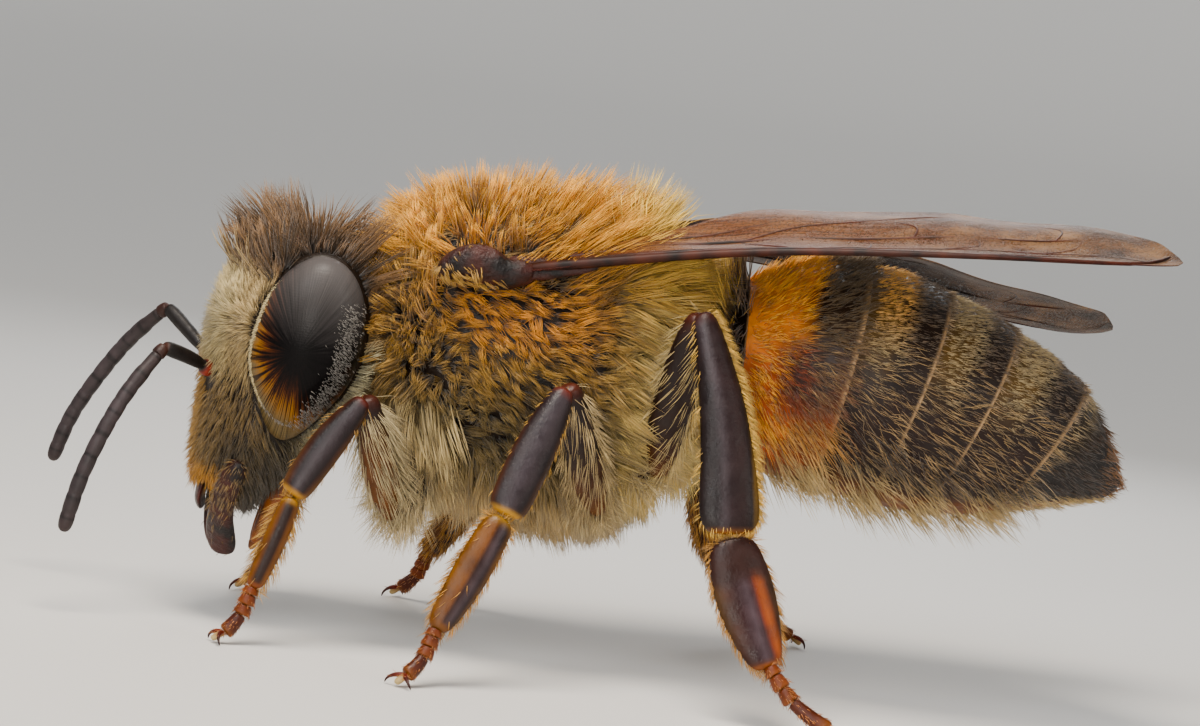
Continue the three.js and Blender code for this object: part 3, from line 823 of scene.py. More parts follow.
legs = {
    "fore": {
        "coxa": [(-2.25, -0.6, 2.6), (-2.45, -0.9, 2.1), (-2.56, -1.05, 1.84)],
        "femur": [(-2.58, -1.08, 1.8), (-2.92, -1.55, 2.7), (-3.16, -1.92, 3.5)],
        "tibia": [(-3.17, -1.93, 3.46), (-3.6, -2.1, 2.8), (-3.98, -2.25, 2.08)],
        "basitarsus": [(-3.96, -2.25, 2.06), (-4.14, -2.3, 1.4), (-4.33, -2.35, 0.78)],
        "tarsus": [(-4.33, -2.35, 0.8), (-4.45, -2.4, 0.38), (-4.62, -2.46, 0.16)],
        "widths": {"femur": (0.26, 0.52, 0.36), "tibia": (0.28, 0.5, 0.44),
                   "basitarsus": (0.26, 0.34, 0.26)},
        "thick": 0.32, "shift": (0.12, 0.16), "amberFemur": 0.55,
    },
    "mid": {
        "coxa": [(-0.1, -0.7, 2.9), (0.05, -1.0, 2.55), (0.16, -1.2, 2.3)],
        "femur": [(0.2, -1.26, 2.26), (-0.2, -1.95, 3.2), (-0.52, -2.5, 4.06)],
        "tibia": [(-0.54, -2.52, 4.02), (-0.88, -2.88, 3.1), (-1.15, -3.2, 2.3)],
        "basitarsus": [(-1.17, -3.2, 2.28), (-1.52, -3.5, 1.45), (-1.86, -3.75, 0.74)],
        "tarsus": [(-1.86, -3.76, 0.76), (-1.98, -3.92, 0.36), (-2.16, -4.08, 0.16)],
        "widths": {"femur": (0.28, 0.56, 0.38), "tibia": (0.32, 0.6, 0.56),
                   "basitarsus": (0.4, 0.52, 0.36)},
        "thick": 0.34, "shift": (-0.1, -0.14), "amberFemur": 0.2,
    },
    "hind": {
        "coxa": [(0.5, -0.75, 3.2), (0.72, -1.05, 2.95), (0.88, -1.2, 2.84)],
        "femur": [(0.92, -1.24, 2.86), (0.98, -1.85, 4.1), (1.12, -2.44, 5.24)],
        "tibia": [(1.14, -2.46, 5.28), (1.6, -2.86, 3.95), (1.85, -3.3, 2.44)],
        "basitarsus": [(1.86, -3.31, 2.42), (2.18, -3.5, 1.6), (2.56, -3.74, 0.8)],
        "tarsus": [(2.57, -3.75, 0.84), (2.96, -3.94, 0.4), (3.44, -4.09, 0.16)],
        "widths": {"femur": (0.3, 0.62, 0.4), "tibia": (0.34, 0.66, 0.86), "basitarsus": (0.62, 0.88, 0.5)},
        "thick": 0.34, "shift": (0.16, 0.12), "amberFemur": 0.05,
    },
}
legPieces = ["coxa", "femur", "tibia", "basitarsus", "tarsus"]
legShell = makeShellMaterial("leg chitin, worn", 0.38, 0.06, 0.012, 0.22)


def legPath(leg, piece, side):
    dx, dy = legs[leg]["shift"]
    index = legPieces.index(piece)
    path = legs[leg][piece]
    result = []
    for n, (x, y, z) in enumerate(path):
        share = (index + n / (len(path) - 1)) / len(legPieces)
        result.append((x, y, z) if side < 0 else (x + dx * share, -y + dy * share, z))
    return result


def makeClaws(tip, along):
    level = Vector((along[0], along[1], 0)).normalized()
    across = Vector((-level.y, level.x, 0))
    parts = []
    for hand in (-1, 1):
        base = Vector(tip) + level * 0.02
        path = [base, base + level * 0.09 + across * 0.1 * hand,
                base + level * 0.13 + across * 0.2 * hand - Vector((0, 0, 0.04)),
                Vector((*(base + level * 0.11 + across * 0.27 * hand).xy, 0.012))]
        claw = growLimb("claw", path, [[0, 0.08, 0.08], [0.35, 0.065, 0.065], [0.75, 0.04, 0.04],
                                       [1, 0.012, 0.012]],
                        (0, 0, 1), 6, 2)
        paintAlong(claw, path, [(0, "7A2208"), (0.5, "4A1408"), (1, "200A08")])
        parts.append(claw)
    path = [Vector(tip), Vector(tip) + level * 0.08 - Vector((0, 0, 0.04)),
            Vector((*(Vector(tip) + level * 0.17).xy, 0.05))]
    pad = growLimb("pad", path, [[0, 0.08, 0.08], [0.4, 0.12, 0.09], [0.85, 0.13, 0.09], [1, 0.06, 0.04]],
                   (0, 0, 1), 8, 2)
    paintAlong(pad, path, [(0, "8A5A20"), (1, "C8B078")])
    parts.append(pad)
    return parts


# Colours across a part of the leg, from its front edge at -1 to its rear edge at 1, then at its start and
# end with the share of its length that they reach. Taper narrows the middle colours towards both ends.
# the lighter grey stops near the middle (382F33, 3A3136, 3A3034, 44363A, 4A3A40) are a painted highlight on
# the glossy chitin; the other stops are the leg's own colour
legTonesAndHighlights = {"tibia": {
    "fore": {"across": [(-1, "50300F"), (-0.78, "3A1C0E"), (-0.5, "1A1012"), (-0.1, "382F33"),
                        (0.3, "2A2023"), (0.6, "1A1012"), (0.78, "3E2010"), (1, "5E3A10")],
             "start": ("5A1E12", 0.06), "end": ("B07A10", 0.93), "taper": 0.5},
    "mid": {"across": [(-1, "442412"), (-0.75, "201214"), (-0.1, "3A3136"), (0.35, "2A2023"),
                       (0.7, "1A1012"), (1, "46280F")],
            "start": ("5A1E12", 0.06), "end": ("B48010", 0.94), "taper": 0.3},
    "hind": {"across": [(-1, "1A0E0E"), (-0.6, "180C0E"), (-0.3, "3A3034"), (0, "241416"), (0.5, "200C0A"),
                        (0.9, "160A0A"), (1, "5A4010")],
             "start": ("3A140E", 0.05), "end": ("8A500A", 0.965), "taper": 0},
}, "basitarsus": {
    "fore": {"across": [(-1, "7C4C08"), (-0.55, "6C3C06"), (-0.25, "24100A"), (0.3, "24100A"),
                        (0.6, "6C3C06"), (1, "7C4C08")],
             "start": ("9A6A08", 0.08), "end": ("7A3A08", 0.9), "taper": 0.2},
    "mid": {"across": [(-1, "704404"), (-0.1, "643604"), (0.08, "301A16"), (0.35, "44363A"),
                       (0.62, "2A1C1E"), (0.85, "5C3808"), (1, "744A06")],
            "start": ("8A6208", 0.06), "end": ("744206", 0.9), "taper": 0.25},
    "hind": {"across": [(-1, "4E340C"), (-0.6, "3C1A0A"), (-0.3, "34181A"), (0, "4A3A40"), (0.2, "3A2226"),
                        (0.32, "7E3000"), (0.46, "9A4600"), (0.6, "7A3600"), (0.72, "3E1E06"),
                        (1, "3E2808")],
             "start": ("2C120C", 0.34), "end": ("8A4606", 0.93), "taper": 0},
}}
# stations: share of the length, share of the thickness, then of the widths at start, middle and end
legShapes = {
    "femur": [[0, 0.5, 0.6, 0, 0], [0.04, 0.8, 1, 0, 0], [0.25, 1, 0, 0.95, 0], [0.5, 1.15, 0, 1, 0],
              [0.8, 1, 0, 0.8, 0], [0.95, 0.9, 0, 0, 1], [1, 0.6, 0, 0, 0.6]],
    "tibia": [[0, 0.6, 0.6, 0, 0], [0.05, 0.9, 1.05, 0, 0], [0.2, 1, 0.48, 0.48, 0], [0.45, 1, 0, 0.98, 0],
              [0.72, 0.95, 0, 0.5, 0.5], [0.9, 0.85, 0, 0, 1], [0.965, 0.75, 0, 0, 0.85],
              [1, 0.5, 0, 0, 0.5]],
    "basitarsus": [[0, 0.5, 0.55, 0, 0], [0.05, 0.75, 1, 0, 0], [0.15, 0.85, 0.5, 0.5, 0],
                   [0.45, 0.85, 0, 1, 0], [0.75, 0.75, 0, 0.5, 0.5], [0.94, 0.65, 0, 0, 1],
                   [1, 0.4, 0, 0, 0.5]],
}


def paintAcross(piece, path, flat, half, tones):
    line = spline(path, 60)
    places = verticesOf(piece)
    nearest = nearestAmong(line)(places)
    ways = unit(np.gradient(line, axis=0))[nearest]
    sideways = unit(np.cross(ways, flat))
    sideways *= np.sign(sideways[:, :1])
    along = nearest / 60
    across = ((places - line[nearest]) * sideways).sum(axis=1) / half
    across /= 1 - tones["taper"] * np.abs(2 * along - 1) ** 2
    start, startReach = tones["start"]
    end, endReach = tones["end"]
    colours = shadeBetween(across, tones["across"])
    colours = blended(colours, tone(start), between(startReach + 0.06, startReach - 0.03, along))
    paint(piece, blended(colours, tone(end), between(endReach - 0.03, endReach + 0.03, along)))


def legFlat(side):
    return Vector((0.15, side, 0.35))


def makeLeg(leg, name, side):
    flat = legFlat(side)
    size = legs[leg]["widths"]
    thick = legs[leg]["thick"]
    parts = []

    path = legPath(leg, "coxa", side)
    coxa = growLimb("coxa", path, [[0, 0.5, 0.5], [0.3, 0.62, 0.55], [0.62, 0.42, 0.4], [0.7, 0.36, 0.36],
                                   [0.8, 0.42, 0.4], [0.95, 0.34, 0.34], [1, 0.24, 0.24]], flat, 10, 2)
    paintAlong(coxa, path, [(0, "1E100C"), (0.6, "24120C"), (0.7, "4A200E"), (0.8, "24120C"),
                            (1, "3A1A0C")])
    parts.append(coxa)

    amber = legs[leg]["amberFemur"]
    for part, sides in (("femur", 12), ("tibia", 14), ("basitarsus", 14)):
        path = legPath(leg, part, side)
        widths = np.array(size[part])
        stations = [[share, widths @ mix, thick * depth] for share, depth, *mix in legShapes[part]]
        limb = growLimb(part, path, stations, flat, sides, 2)
        if part == "femur":
            paintAlong(limb, path, [(0, "6E3E0A"), (amber, "603408"), (amber + 0.25, "26140E"),
                                    (0.85, "201010"), (1, "4A1C0C")])
        else:
            paintAcross(limb, path, flat, size[part][1] / 2, legTonesAndHighlights[part][leg])
        parts.append(limb)

    path = legPath(leg, "tarsus", side)
    line = spline(path, 40)
    steps = [0, 0.16, 0.31, 0.46, 1.0]
    for n in range(4):
        cut = line[int(steps[n] * 40):int(steps[n + 1] * 40) + 1]
        w = (0.24, 0.25, 0.25, 0.23)[n]
        toe = growLimb("toe", [cut[0], cut[len(cut) // 2], cut[-1]],
                       [[0, w * 0.66, w * 0.6], [0.1, w * 0.8, w * 0.74], [0.6, w * 0.9, w * 0.8],
                        [0.92, w, w * 0.82], [1, w * 0.8, w * 0.64]], flat, 10, 2)
        stops = ([(0, "622602"), (0.5, "6E2E02"), (1, "804004")] if n < 3 else
                 [(0, "4A1A06"), (0.6, "501E06"), (1, "804406")])
        paintAlong(toe, [cut[0], cut[len(cut) // 2], cut[-1]], stops)
        parts.append(toe)
    parts += makeClaws(path[-1], Vector(line[-1]) - Vector(line[-6]))
    finishPiece(joined(f"leg{leg.title()}{name.title()}", parts),
                [f"{leg}_{piece}_{name}" for piece in legPieces], legShell)


for leg in legs:
    makeLeg(leg, "left", -1)
    makeLeg(leg, "right", 1)
print("legs ready")

# Wings

wings = {
    "left": {"edge": [(-1.38, -1.93, 5.46), (0.25, -2.25, 5.83), (2.2, -2.68, 6.2), (4.6, -3.02, 6.5),
                      (6.6, -3.06, 6.7), (7.44, -2.9, 6.8)],
             "chord": (-0.14, 0.97, 0.165), "tuck": 0.9},
    "right": {"edge": [(-1.38, 1.93, 5.46), (0.25, 2.38, 5.72), (2.2, 2.9, 5.7), (4.6, 3.2, 5.46),
                       (6.6, 3.2, 5.28), (7.5, 3.0, 5.4)],
              "chord": (-0.14, -0.93, 0.29), "tuck": 0.5},
    "foreChord": 2.75, "hindChord": 1.5, "hindReach": 0.7, "thickness": 0.014, "hindDrop": 0.16,
}
# share of the widest chord that the wing covers, [share of the span, front, rear]
foreOutline = [[0, -0.03, 0.16], [0.05, -0.03, 0.22], [0.14, -0.01, 0.32], [0.3, 0, 0.62], [0.42, 0, 0.9],
               [0.52, 0, 1.0], [0.63, 0, 0.96], [0.75, 0.0, 0.8], [0.86, 0.01, 0.58], [0.95, 0.04, 0.34],
               [1.0, 0.1, 0.16]]
hindOutline = [[0, 0, 0.12], [0.15, 0, 0.5], [0.35, 0, 0.86], [0.6, 0, 1.0], [0.8, 0.05, 0.84],
               [0.93, 0.16, 0.62], [1.0, 0.34, 0.42]]


def wingFrame(wing):
    chordway = Vector(wing["chord"]).normalized()
    alongWing = (Vector(wing["edge"][-1]) - Vector(wing["edge"][0])).normalized()
    lift = alongWing.cross(chordway).normalized()
    return chordway, lift if lift.z > 0 else -lift


# A place on a wing: share of the span, chord in mm from the front edge, height over the sheet in mm
def onWing(wing, span, chord, over=0.0, reach=1.0, tuck=0.0, drop=0.0):
    chordway, lift = wingFrame(wing)
    line = spline(wing["edge"], 60)
    place = np.array([np.interp(span * reach, np.linspace(0, 1, 61), line[:, k]) for k in range(3)])
    fold = 0.05 * math.sin(chord * 3.2 + span * 4) * min(1, span * 3)
    fold += 0.02 * math.sin(span * 34) * min(1, chord)
    return Vector(place) + chordway * (chord + tuck * min(1, 2 * span)) + lift * (over - drop + fold)


def makeSheet(name, wing, outline, width, steps, **where):
    deselectAll()
    bpy.ops.mesh.primitive_grid_add(x_subdivisions=steps[0], y_subdivisions=steps[1], size=2)
    piece = bpy.context.object
    piece.name = name
    table = np.array(outline)
    local = []

    def placed(spot):
        span, share = (spot.x + 1) / 2, (spot.y + 1) / 2
        span = 1 - (1 - span) ** 1.3 if span > 0.5 else span
        front, rear = (np.interp(span, table[:, 0], table[:, k]) for k in (1, 2))
        local.append((span, width * (front + (rear - front) * share), 0))
        return onWing(wing, *local[-1][:2], **where) * mm

    reshape(piece, placed)
    keep(piece, "wingPlace", "FLOAT_VECTOR", "vector", local)
    modify(piece, "SOLIDIFY", thickness=wings["thickness"] * mm, offset=0)
    bpy.ops.object.shade_smooth()
    return piece


# veins: [start width, end width, (share of the span, share of the chord), ...]
foreVeins = [
    [0.2, 0.05, (0, 0.02), (0.2, 0.015), (0.42, 0.012), (0.62, 0.015), (0.8, 0.02), (0.92, 0.09),
     (0.97, 0.2)],
    [0.08, 0.05, (0, 0.07), (0.2, 0.085), (0.42, 0.07), (0.6, 0.06), (0.66, 0.03)],
    [0.07, 0.03, (0.4, 0.075), (0.37, 0.2), (0.35, 0.34)],
    [0.08, 0.03, (0.02, 0.09), (0.15, 0.19), (0.35, 0.34), (0.5, 0.4), (0.62, 0.42), (0.74, 0.4),
     (0.84, 0.45)],
    [0.06, 0.03, (0.02, 0.1), (0.15, 0.26), (0.3, 0.46), (0.4, 0.58), (0.44, 0.66)],
    [0.05, 0.03, (0.35, 0.34), (0.42, 0.5), (0.52, 0.66), (0.62, 0.8)],
    [0.05, 0.03, (0.43, 0.08), (0.49, 0.19), (0.57, 0.22), (0.68, 0.23), (0.78, 0.2), (0.9, 0.07)],
    [0.05, 0.03, (0.6, 0.06), (0.66, 0.14), (0.78, 0.2)],
    [0.04, 0.02, (0.49, 0.19), (0.5, 0.3), (0.5, 0.4)],
    [0.04, 0.02, (0.57, 0.22), (0.62, 0.3), (0.62, 0.42)],
    [0.04, 0.02, (0.69, 0.23), (0.74, 0.3), (0.76, 0.4)],
    [0.04, 0.02, (0.55, 0.41), (0.56, 0.55), (0.53, 0.66)],
    [0.04, 0.02, (0.72, 0.4), (0.74, 0.55), (0.7, 0.7)],
]
hindVeins = [
    [0.09, 0.04, (0, 0.03), (0.3, 0.02), (0.55, 0.06), (0.75, 0.16), (0.9, 0.3)],
    [0.06, 0.03, (0, 0.08), (0.3, 0.32), (0.5, 0.46), (0.7, 0.56), (0.88, 0.6)],
    [0.05, 0.03, (0.42, 0.05), (0.46, 0.28), (0.5, 0.46)],
    [0.04, 0.02, (0.05, 0.1), (0.25, 0.5), (0.4, 0.8)],
]


def makeVeins(name, wing, veins, width, **where):
    parts = []
    for n, (start, end, *route) in enumerate(veins):
        line = spline(route, 14)
        count = len(line)
        path = [onWing(wing, span, share * width, **where) for span, share in line]
        widths = np.linspace(start, end, count)
        stations = [[share, width, width * 0.8] for share, width in zip(np.linspace(0, 1, count), widths)]
        parts.append(growLimb(f"vein{n}", path, stations, wingFrame(wing)[1], 6, 1))
    return joined(name, parts)


def makeWingMaterials():
    # Wing membrane: a double sheet of clear chitin a few microns thick, smoky brown, finely pleated and
    # creased
    membrane, shader = newMaterial("wing membrane chitin",
                                   {"Roughness": 0.5, "IOR": 1.5, "Specular IOR Level": 0.12})
    place = addNode(membrane, "Attribute", {"attribute_name": "wingPlace"}, "Vector")
    span = addNode(membrane, "SeparateXYZ", {0: place}, "X")
    chord = addNode(membrane, "SeparateXYZ", {0: place}, "Y")
    pleats = addNode(membrane, "Mapping", {"Vector": place, "Scale": (1.6, 9.0, 1.0)})
    pleats = addNode(membrane, "TexNoise", {"Vector": pleats, "Scale": 1.5, "Detail": 5, "Roughness": 0.62})
    inner = addNode(membrane, "ValToRGB",
                    {0: pleats, "stops": [(0.3, "2E140A"), (0.5, "5E341A"), (0.72, "98682F")]})
    solid = addNode(membrane, "TexCoord", {}, "Object")
    cells = addNode(membrane, "TexNoise", {"Vector": solid, "Scale": 1 / (0.5 * mm), "Detail": 6})
    outer = addNode(membrane, "ValToRGB",
                    {0: cells, "stops": [(0.3, "281608"), (0.5, "54381F"), (0.72, "82603C")]})
    outward = addNode(membrane, "ValToRGB", {0: span, "stops": [(0.25, 0.0), (0.8, 1.0)]})
    sheet = addNode(membrane, "Mix", {"data_type": "RGBA", 0: outward, 6: inner, 7: outer}, 2)
    border = addNode(membrane, "ValToRGB", {0: chord, "stops": [(0.05, 1.0), (0.13, 0.0)]})
    colour = addNode(membrane, "Mix", {"data_type": "RGBA", 0: border, 6: sheet, 7: "3A1006"}, 2)
    specks = addNode(membrane, "TexNoise", {"Vector": solid, "Scale": 1 / (0.04 * mm), "Detail": 3})
    clear = addNode(membrane, "ValToRGB", {0: specks, "stops": [(0.35, 0.66), (0.65, 0.88)]})
    creases = addNode(membrane, "TexNoise", {"Vector": solid, "Scale": 1 / (0.16 * mm), "Detail": 5})
    bump = addNode(membrane, "Bump", {"Height": creases, "Distance": 0.03 * mm, "Strength": 0.7})
    setNode(membrane, shader, {"Base Color": colour, "Alpha": clear, "Normal": bump})
    # Wing veins: hardened chitin tubes, glossy, red-brown where light comes through
    veins, shader = newMaterial("wing vein chitin",
                                {"Roughness": 0.45, "IOR": 1.56, "Specular IOR Level": 0.15})
    solid = addNode(veins, "TexCoord", {}, "Object")
    cloud = addNode(veins, "TexNoise", {"Vector": solid, "Scale": 1 / (0.4 * mm), "Detail": 3})
    colour = addNode(veins, "ValToRGB", {0: cloud, "stops": [(0.35, "140604"), (0.65, "421A0A")]})
    setNode(veins, shader, {"Base Color": colour})
    return membrane, veins


membraneMaterial, veinMaterial = makeWingMaterials()
for name in ("left", "right"):
    wing = wings[name]
    title = name.title()
    tuck, drop, reach = wing["tuck"], wings["hindDrop"], wings["hindReach"]
    sheet = makeSheet(f"forewing{title}", wing, foreOutline, wings["foreChord"], (90, 30))
    finishPiece(sheet, [f"forewing_{name}"], membraneMaterial)
    finishPiece(makeVeins(f"forewingVeins{title}", wing, foreVeins, wings["foreChord"]), [],
                veinMaterial)
    sheet = makeSheet(f"hindwing{title}", wing, hindOutline, wings["hindChord"], (60, 20), reach=reach,
                      tuck=tuck, drop=drop)
    finishPiece(sheet, [f"hindwing_{name}"], membraneMaterial)
    veins = makeVeins(f"hindwingVeins{title}", wing, hindVeins, wings["hindChord"], reach=reach, tuck=tuck,
                      drop=drop)
    finishPiece(veins, [], veinMaterial)
print("wings ready")

# Tegulae: a polished scale over each wing root, with the root's small plates behind it

scaleMaterial = makeHorn("worn tegula horn", 0.42, "0C0606", "3A140C", 0.16)
tegulaRows = [(-2.45, -0.1, 0.1, 0.1), (-2.38, -0.06, 0.32, 0.28), (-2.14, 0.02, 0.52, 0.44),
              (-1.88, 0.05, 0.56, 0.5),
              (-1.64, 0.02, 0.5, 0.44), (-1.49, -0.05, 0.38, 0.34), (-1.36, -0.02, 0.42, 0.34),
              (-1.22, 0.01, 0.3, 0.26), (-1.13, 0.02, 0.12, 0.1)]
# plates of the wing root: [start, end, width, thickness]
rootPlates = [[(-1.66, 1.84, 5.3), (-1.12, 1.93, 5.42), 0.36, 0.3],
              [(-1.52, 1.8, 5.52), (-0.95, 1.86, 5.6), 0.26, 0.2],
              [(-1.3, 1.9, 5.42), (-0.3, 2.06, 5.66), 0.24, 0.18]]
for name, side in (("left", -1), ("right", 1)):
    parts = [growTube("scale", [ring((x, side * 1.94, 5.44 + lift), (1, side * -0.08, 0.06),
                                     (0, side * 0.45, 0.9), w, h)
                                for x, lift, h, w in tegulaRows], 14, 3)]
    for n, (start, end, width, thick) in enumerate(rootPlates):
        path = [(x, side * y, z) for x, y, z in (start, end)]
        parts.append(growLimb(f"root{n}", path, [[0, width * 0.4, thick * 0.4],
                                                 [0.12, width * 0.9, thick * 0.9], [0.35, width, thick],
                                                 [0.55, width * 0.7, thick * 0.7],
                                                 [0.75, width * 0.75, thick * 0.7],
                                                 [0.93, width * 0.4, thick * 0.4],
                                                 [1, width * 0.2, thick * 0.2]], (0, side, 0.4), 10, 2))
    finishPiece(joined(f"tegula{name.title()}", parts), [f"tegula_{name}"], scaleMaterial)
print("tegulae ready")

# Coat: branched hairs as thin closed spikes, gathered in tufts along the lie

def scatter(piece, count, weightOf):
    mesh = piece.data
    mesh.calc_loop_triangles()
    flat = np.empty(len(mesh.loop_triangles) * 3, np.int32)
    mesh.loop_triangles.foreach_get("vertices", flat)
    corners = flat.reshape(-1, 3)
    outward = np.empty(len(mesh.vertices) * 3, np.float32)
    mesh.vertex_normals.foreach_get("vector", outward)
    outward = outward.reshape(-1, 3)
    a, b, c = (verticesOf(piece)[corners[:, k]] for k in range(3))
    cross = np.cross(b - a, c - a)
    area = np.linalg.norm(cross, axis=1)
    share = area * np.maximum(weightOf((a + b + c) / 3, unit(cross)), 0)
    chosen = chance.choice(len(share), count, p=share / share.sum())
    u, v = chance.random((2, count, 1))
    over = u + v > 1
    u, v = np.where(over, 1 - u, u), np.where(over, 1 - v, v)
    na, nb, nc = (outward[corners[chosen, k]] for k in range(3))
    roots = a[chosen] + (b - a)[chosen] * u + (c - a)[chosen] * v
    return roots, unit(na + (nb - na) * u + (nc - na) * v)


# Rings of three points up the hair and one at its tip; the cap, the sides and the tip are its faces.
def hairFaces(rings):
    faces, patch = [(2, 1, 0)], [(0.5, -0.3), (1, 0), (0, 0)]
    for level in range(rings - 1):
        low, high = level / rings, (level + 1) / rings
        for k in range(3):
            after = (k + 1) % 3
            start = level * 3
            faces.append((start + k, start + after, start + 3 + after, start + 3 + k))
            patch += [(k / 3, low), ((k + 1) / 3, low), ((k + 1) / 3, high), (k / 3, high)]
    top = rings * 3
    for k in range(3):
        faces.append((top - 3 + k, top - 3 + (k + 1) % 3, top))
        patch += [(k / 3, 1 - 1 / rings), ((k + 1) / 3, 1 - 1 / rings), ((k + 0.5) / 3, 1)]
    return faces, np.array(patch)


def growCoat(name, roots, normals, lie, coat, colours, unwrap):
    count = len(roots)
    lie = unit(lie - normals * (lie * normals).sum(axis=1, keepdims=True))
    heads = chance.choice(count, max(2, count // coat["tuft"]), replace=False)
    tuft = nearestAmong(roots[heads])(roots)
    roots = roots + (roots[heads][tuft] - roots) * coat.get("gather", 0)
    wild = coat["wild"]
    lean = chance.normal(0, wild, (len(heads), 3))[tuft] + chance.normal(0, wild * 0.5, (count, 3))
    own = headPlace(roots) if coat.get("on") == "head" else roots.T
    stand = coat["stand"](*own) if "stand" in coat else 0
    lift = np.radians(coat["lift"] + stand + chance.normal(0, 6, count))[:, None]
    start = unit(normals * np.sin(lift) + lie * np.cos(lift) + lean)
    finish = unit(start + lie * coat["droop"] + np.array([0, 0, -coat.get("sag", 0)]))
    low, high = coat["length"]
    spread = 0.55 * chance.random(len(heads))[tuft] + 0.45 * chance.random(count)
    length = (low + (high - low) * spread)[:, None]
    if "grow" in coat:
        length = length * coat["grow"](*own)[:, None]
    tips = roots + length * (start + finish) / 2
    offset = (tips[heads][tuft] - tips) * coat["pull"]
    offset *= np.minimum(1, 0.6 * length / np.maximum(np.linalg.norm(offset, axis=1, keepdims=True), 1e-9))

    rings = coat.get("rings", 2)
    steps = {2: [0, 0.5], 3: [0, 0.35, 0.7]}[rings]
    girths = {2: [0.9, 0.85], 3: [0.85, 1.0, 0.65]}[rings]
    across = unit(np.cross(start, chance.normal(0, 1, (count, 3))))
    beside = np.cross(start, across)
    thick = coat["thick"] * (0.75 + 0.5 * chance.random(count))[:, None] / 2
    rows = []
    tones = []
    vary = coat.get("vary", 0.3)
    shade = (1 - vary + 2 * vary * chance.random(len(heads)))[tuft]
    shade = (shade * (0.8 + 0.4 * chance.random(count)))[:, None]
    # each hair darkens from tip to root by rootShade: partly the hairs' own darker bases, partly painted
    # shade deep in the coat
    for t, girth in zip(steps + [1], girths + [0]):
        middle = roots - normals * 0.02 + length * (start * t + (finish - start) * t * t / 2) + offset * t * t
        corners = [across * math.cos(turn) + beside * math.sin(turn) for turn in np.radians([0, 120, 240])]
        spots = [middle] if t == 1 else [middle + thick * girth * corner for corner in corners]
        rows += spots
        tones += [colours * shade * (coat["rootShade"] + (1 - coat["rootShade"]) * t ** 0.7)] * len(spots)
    points = np.stack(rows, axis=1)
    spots = points.shape[1]

    faces, patch = hairFaces(rings)
    order = np.array([corner for face in faces for corner in face])
    starts = np.cumsum([0] + [len(face) for face in faces[:-1]])
    mesh = bpy.data.meshes.new(name)
    mesh.vertices.add(count * spots)
    mesh.vertices.foreach_set("co", (points * mm).astype(np.float32).ravel())
    mesh.loops.add(count * len(order))
    hairs = np.arange(count)[:, None]
    mesh.loops.foreach_set("vertex_index", (hairs * spots + order).astype(np.int32).ravel())
    mesh.polygons.add(count * len(faces))
    mesh.polygons.foreach_set("loop_start", (hairs * len(order) + starts).astype(np.int32).ravel())
    mesh.polygons.foreach_set("use_smooth", [True] * len(mesh.polygons))
    mesh.update(calc_edges=True)
    piece = bpy.data.objects.new(name, mesh)
    bpy.context.collection.objects.link(piece)
    paint(piece, np.clip(np.stack(tones, axis=1).reshape(-1, 3), 0, 1))
    bake = mesh.uv_layers.new(name="OFBake")
    places = (0.004 + 0.988 * np.clip(unwrap(roots), 0, 1))[:, None, :] + patch * coatPatch
    bake.data.foreach_set("uv", places.astype(np.float32).ravel())
    finishPiece(piece, [], hairMaterial)
    return piece


coatPatch = 0.003


def makeHairMaterial():
    # Branched setae: fine chitin, dull gloss, a little light passing through
    material, shader = newMaterial("branched chitin setae",
                                   {"Roughness": 0.5, "IOR": 1.45, "Sheen Weight": 0.15})
    marking = addNode(material, "Attribute", {"attribute_name": "marking"})
    setNode(material, shader, {"Base Color": marking})
    return material


hairMaterial = makeHairMaterial()
coatTones = {
    "face": "BCA068", "profile": "CCB880", "lowFace": "866A38", "lowProfile": "C49440", "malar": "40341E",
    "crown": "70502A", "cheek": "6E6040", "behindEye": "D8CCA0",
    "temple": "C48A1E", "top": "DA9814", "scutellum": "ECC048", "orange": "E09010", "side": "A87C24",
    "lowSide": "7A6434", "rear": "ECCA70", "under": "CCAC70", "waist": "ECBC48", "waistDark": "6A5034",
    "second": "FFAC18",
    "secondLow": "8A3606", "secondDark": "6E583A", "thirdGold": "F0B048", "bandGold": "B8A070",
    "ringDark": "6A5640",
    "ringLow": "3E2A18", "edge": "D8B888", "belly": "D8B878", "tail": "3E2C1C", "tailEnd": "8A5C2C",
    "clypeusRim": "CC8E18",
}


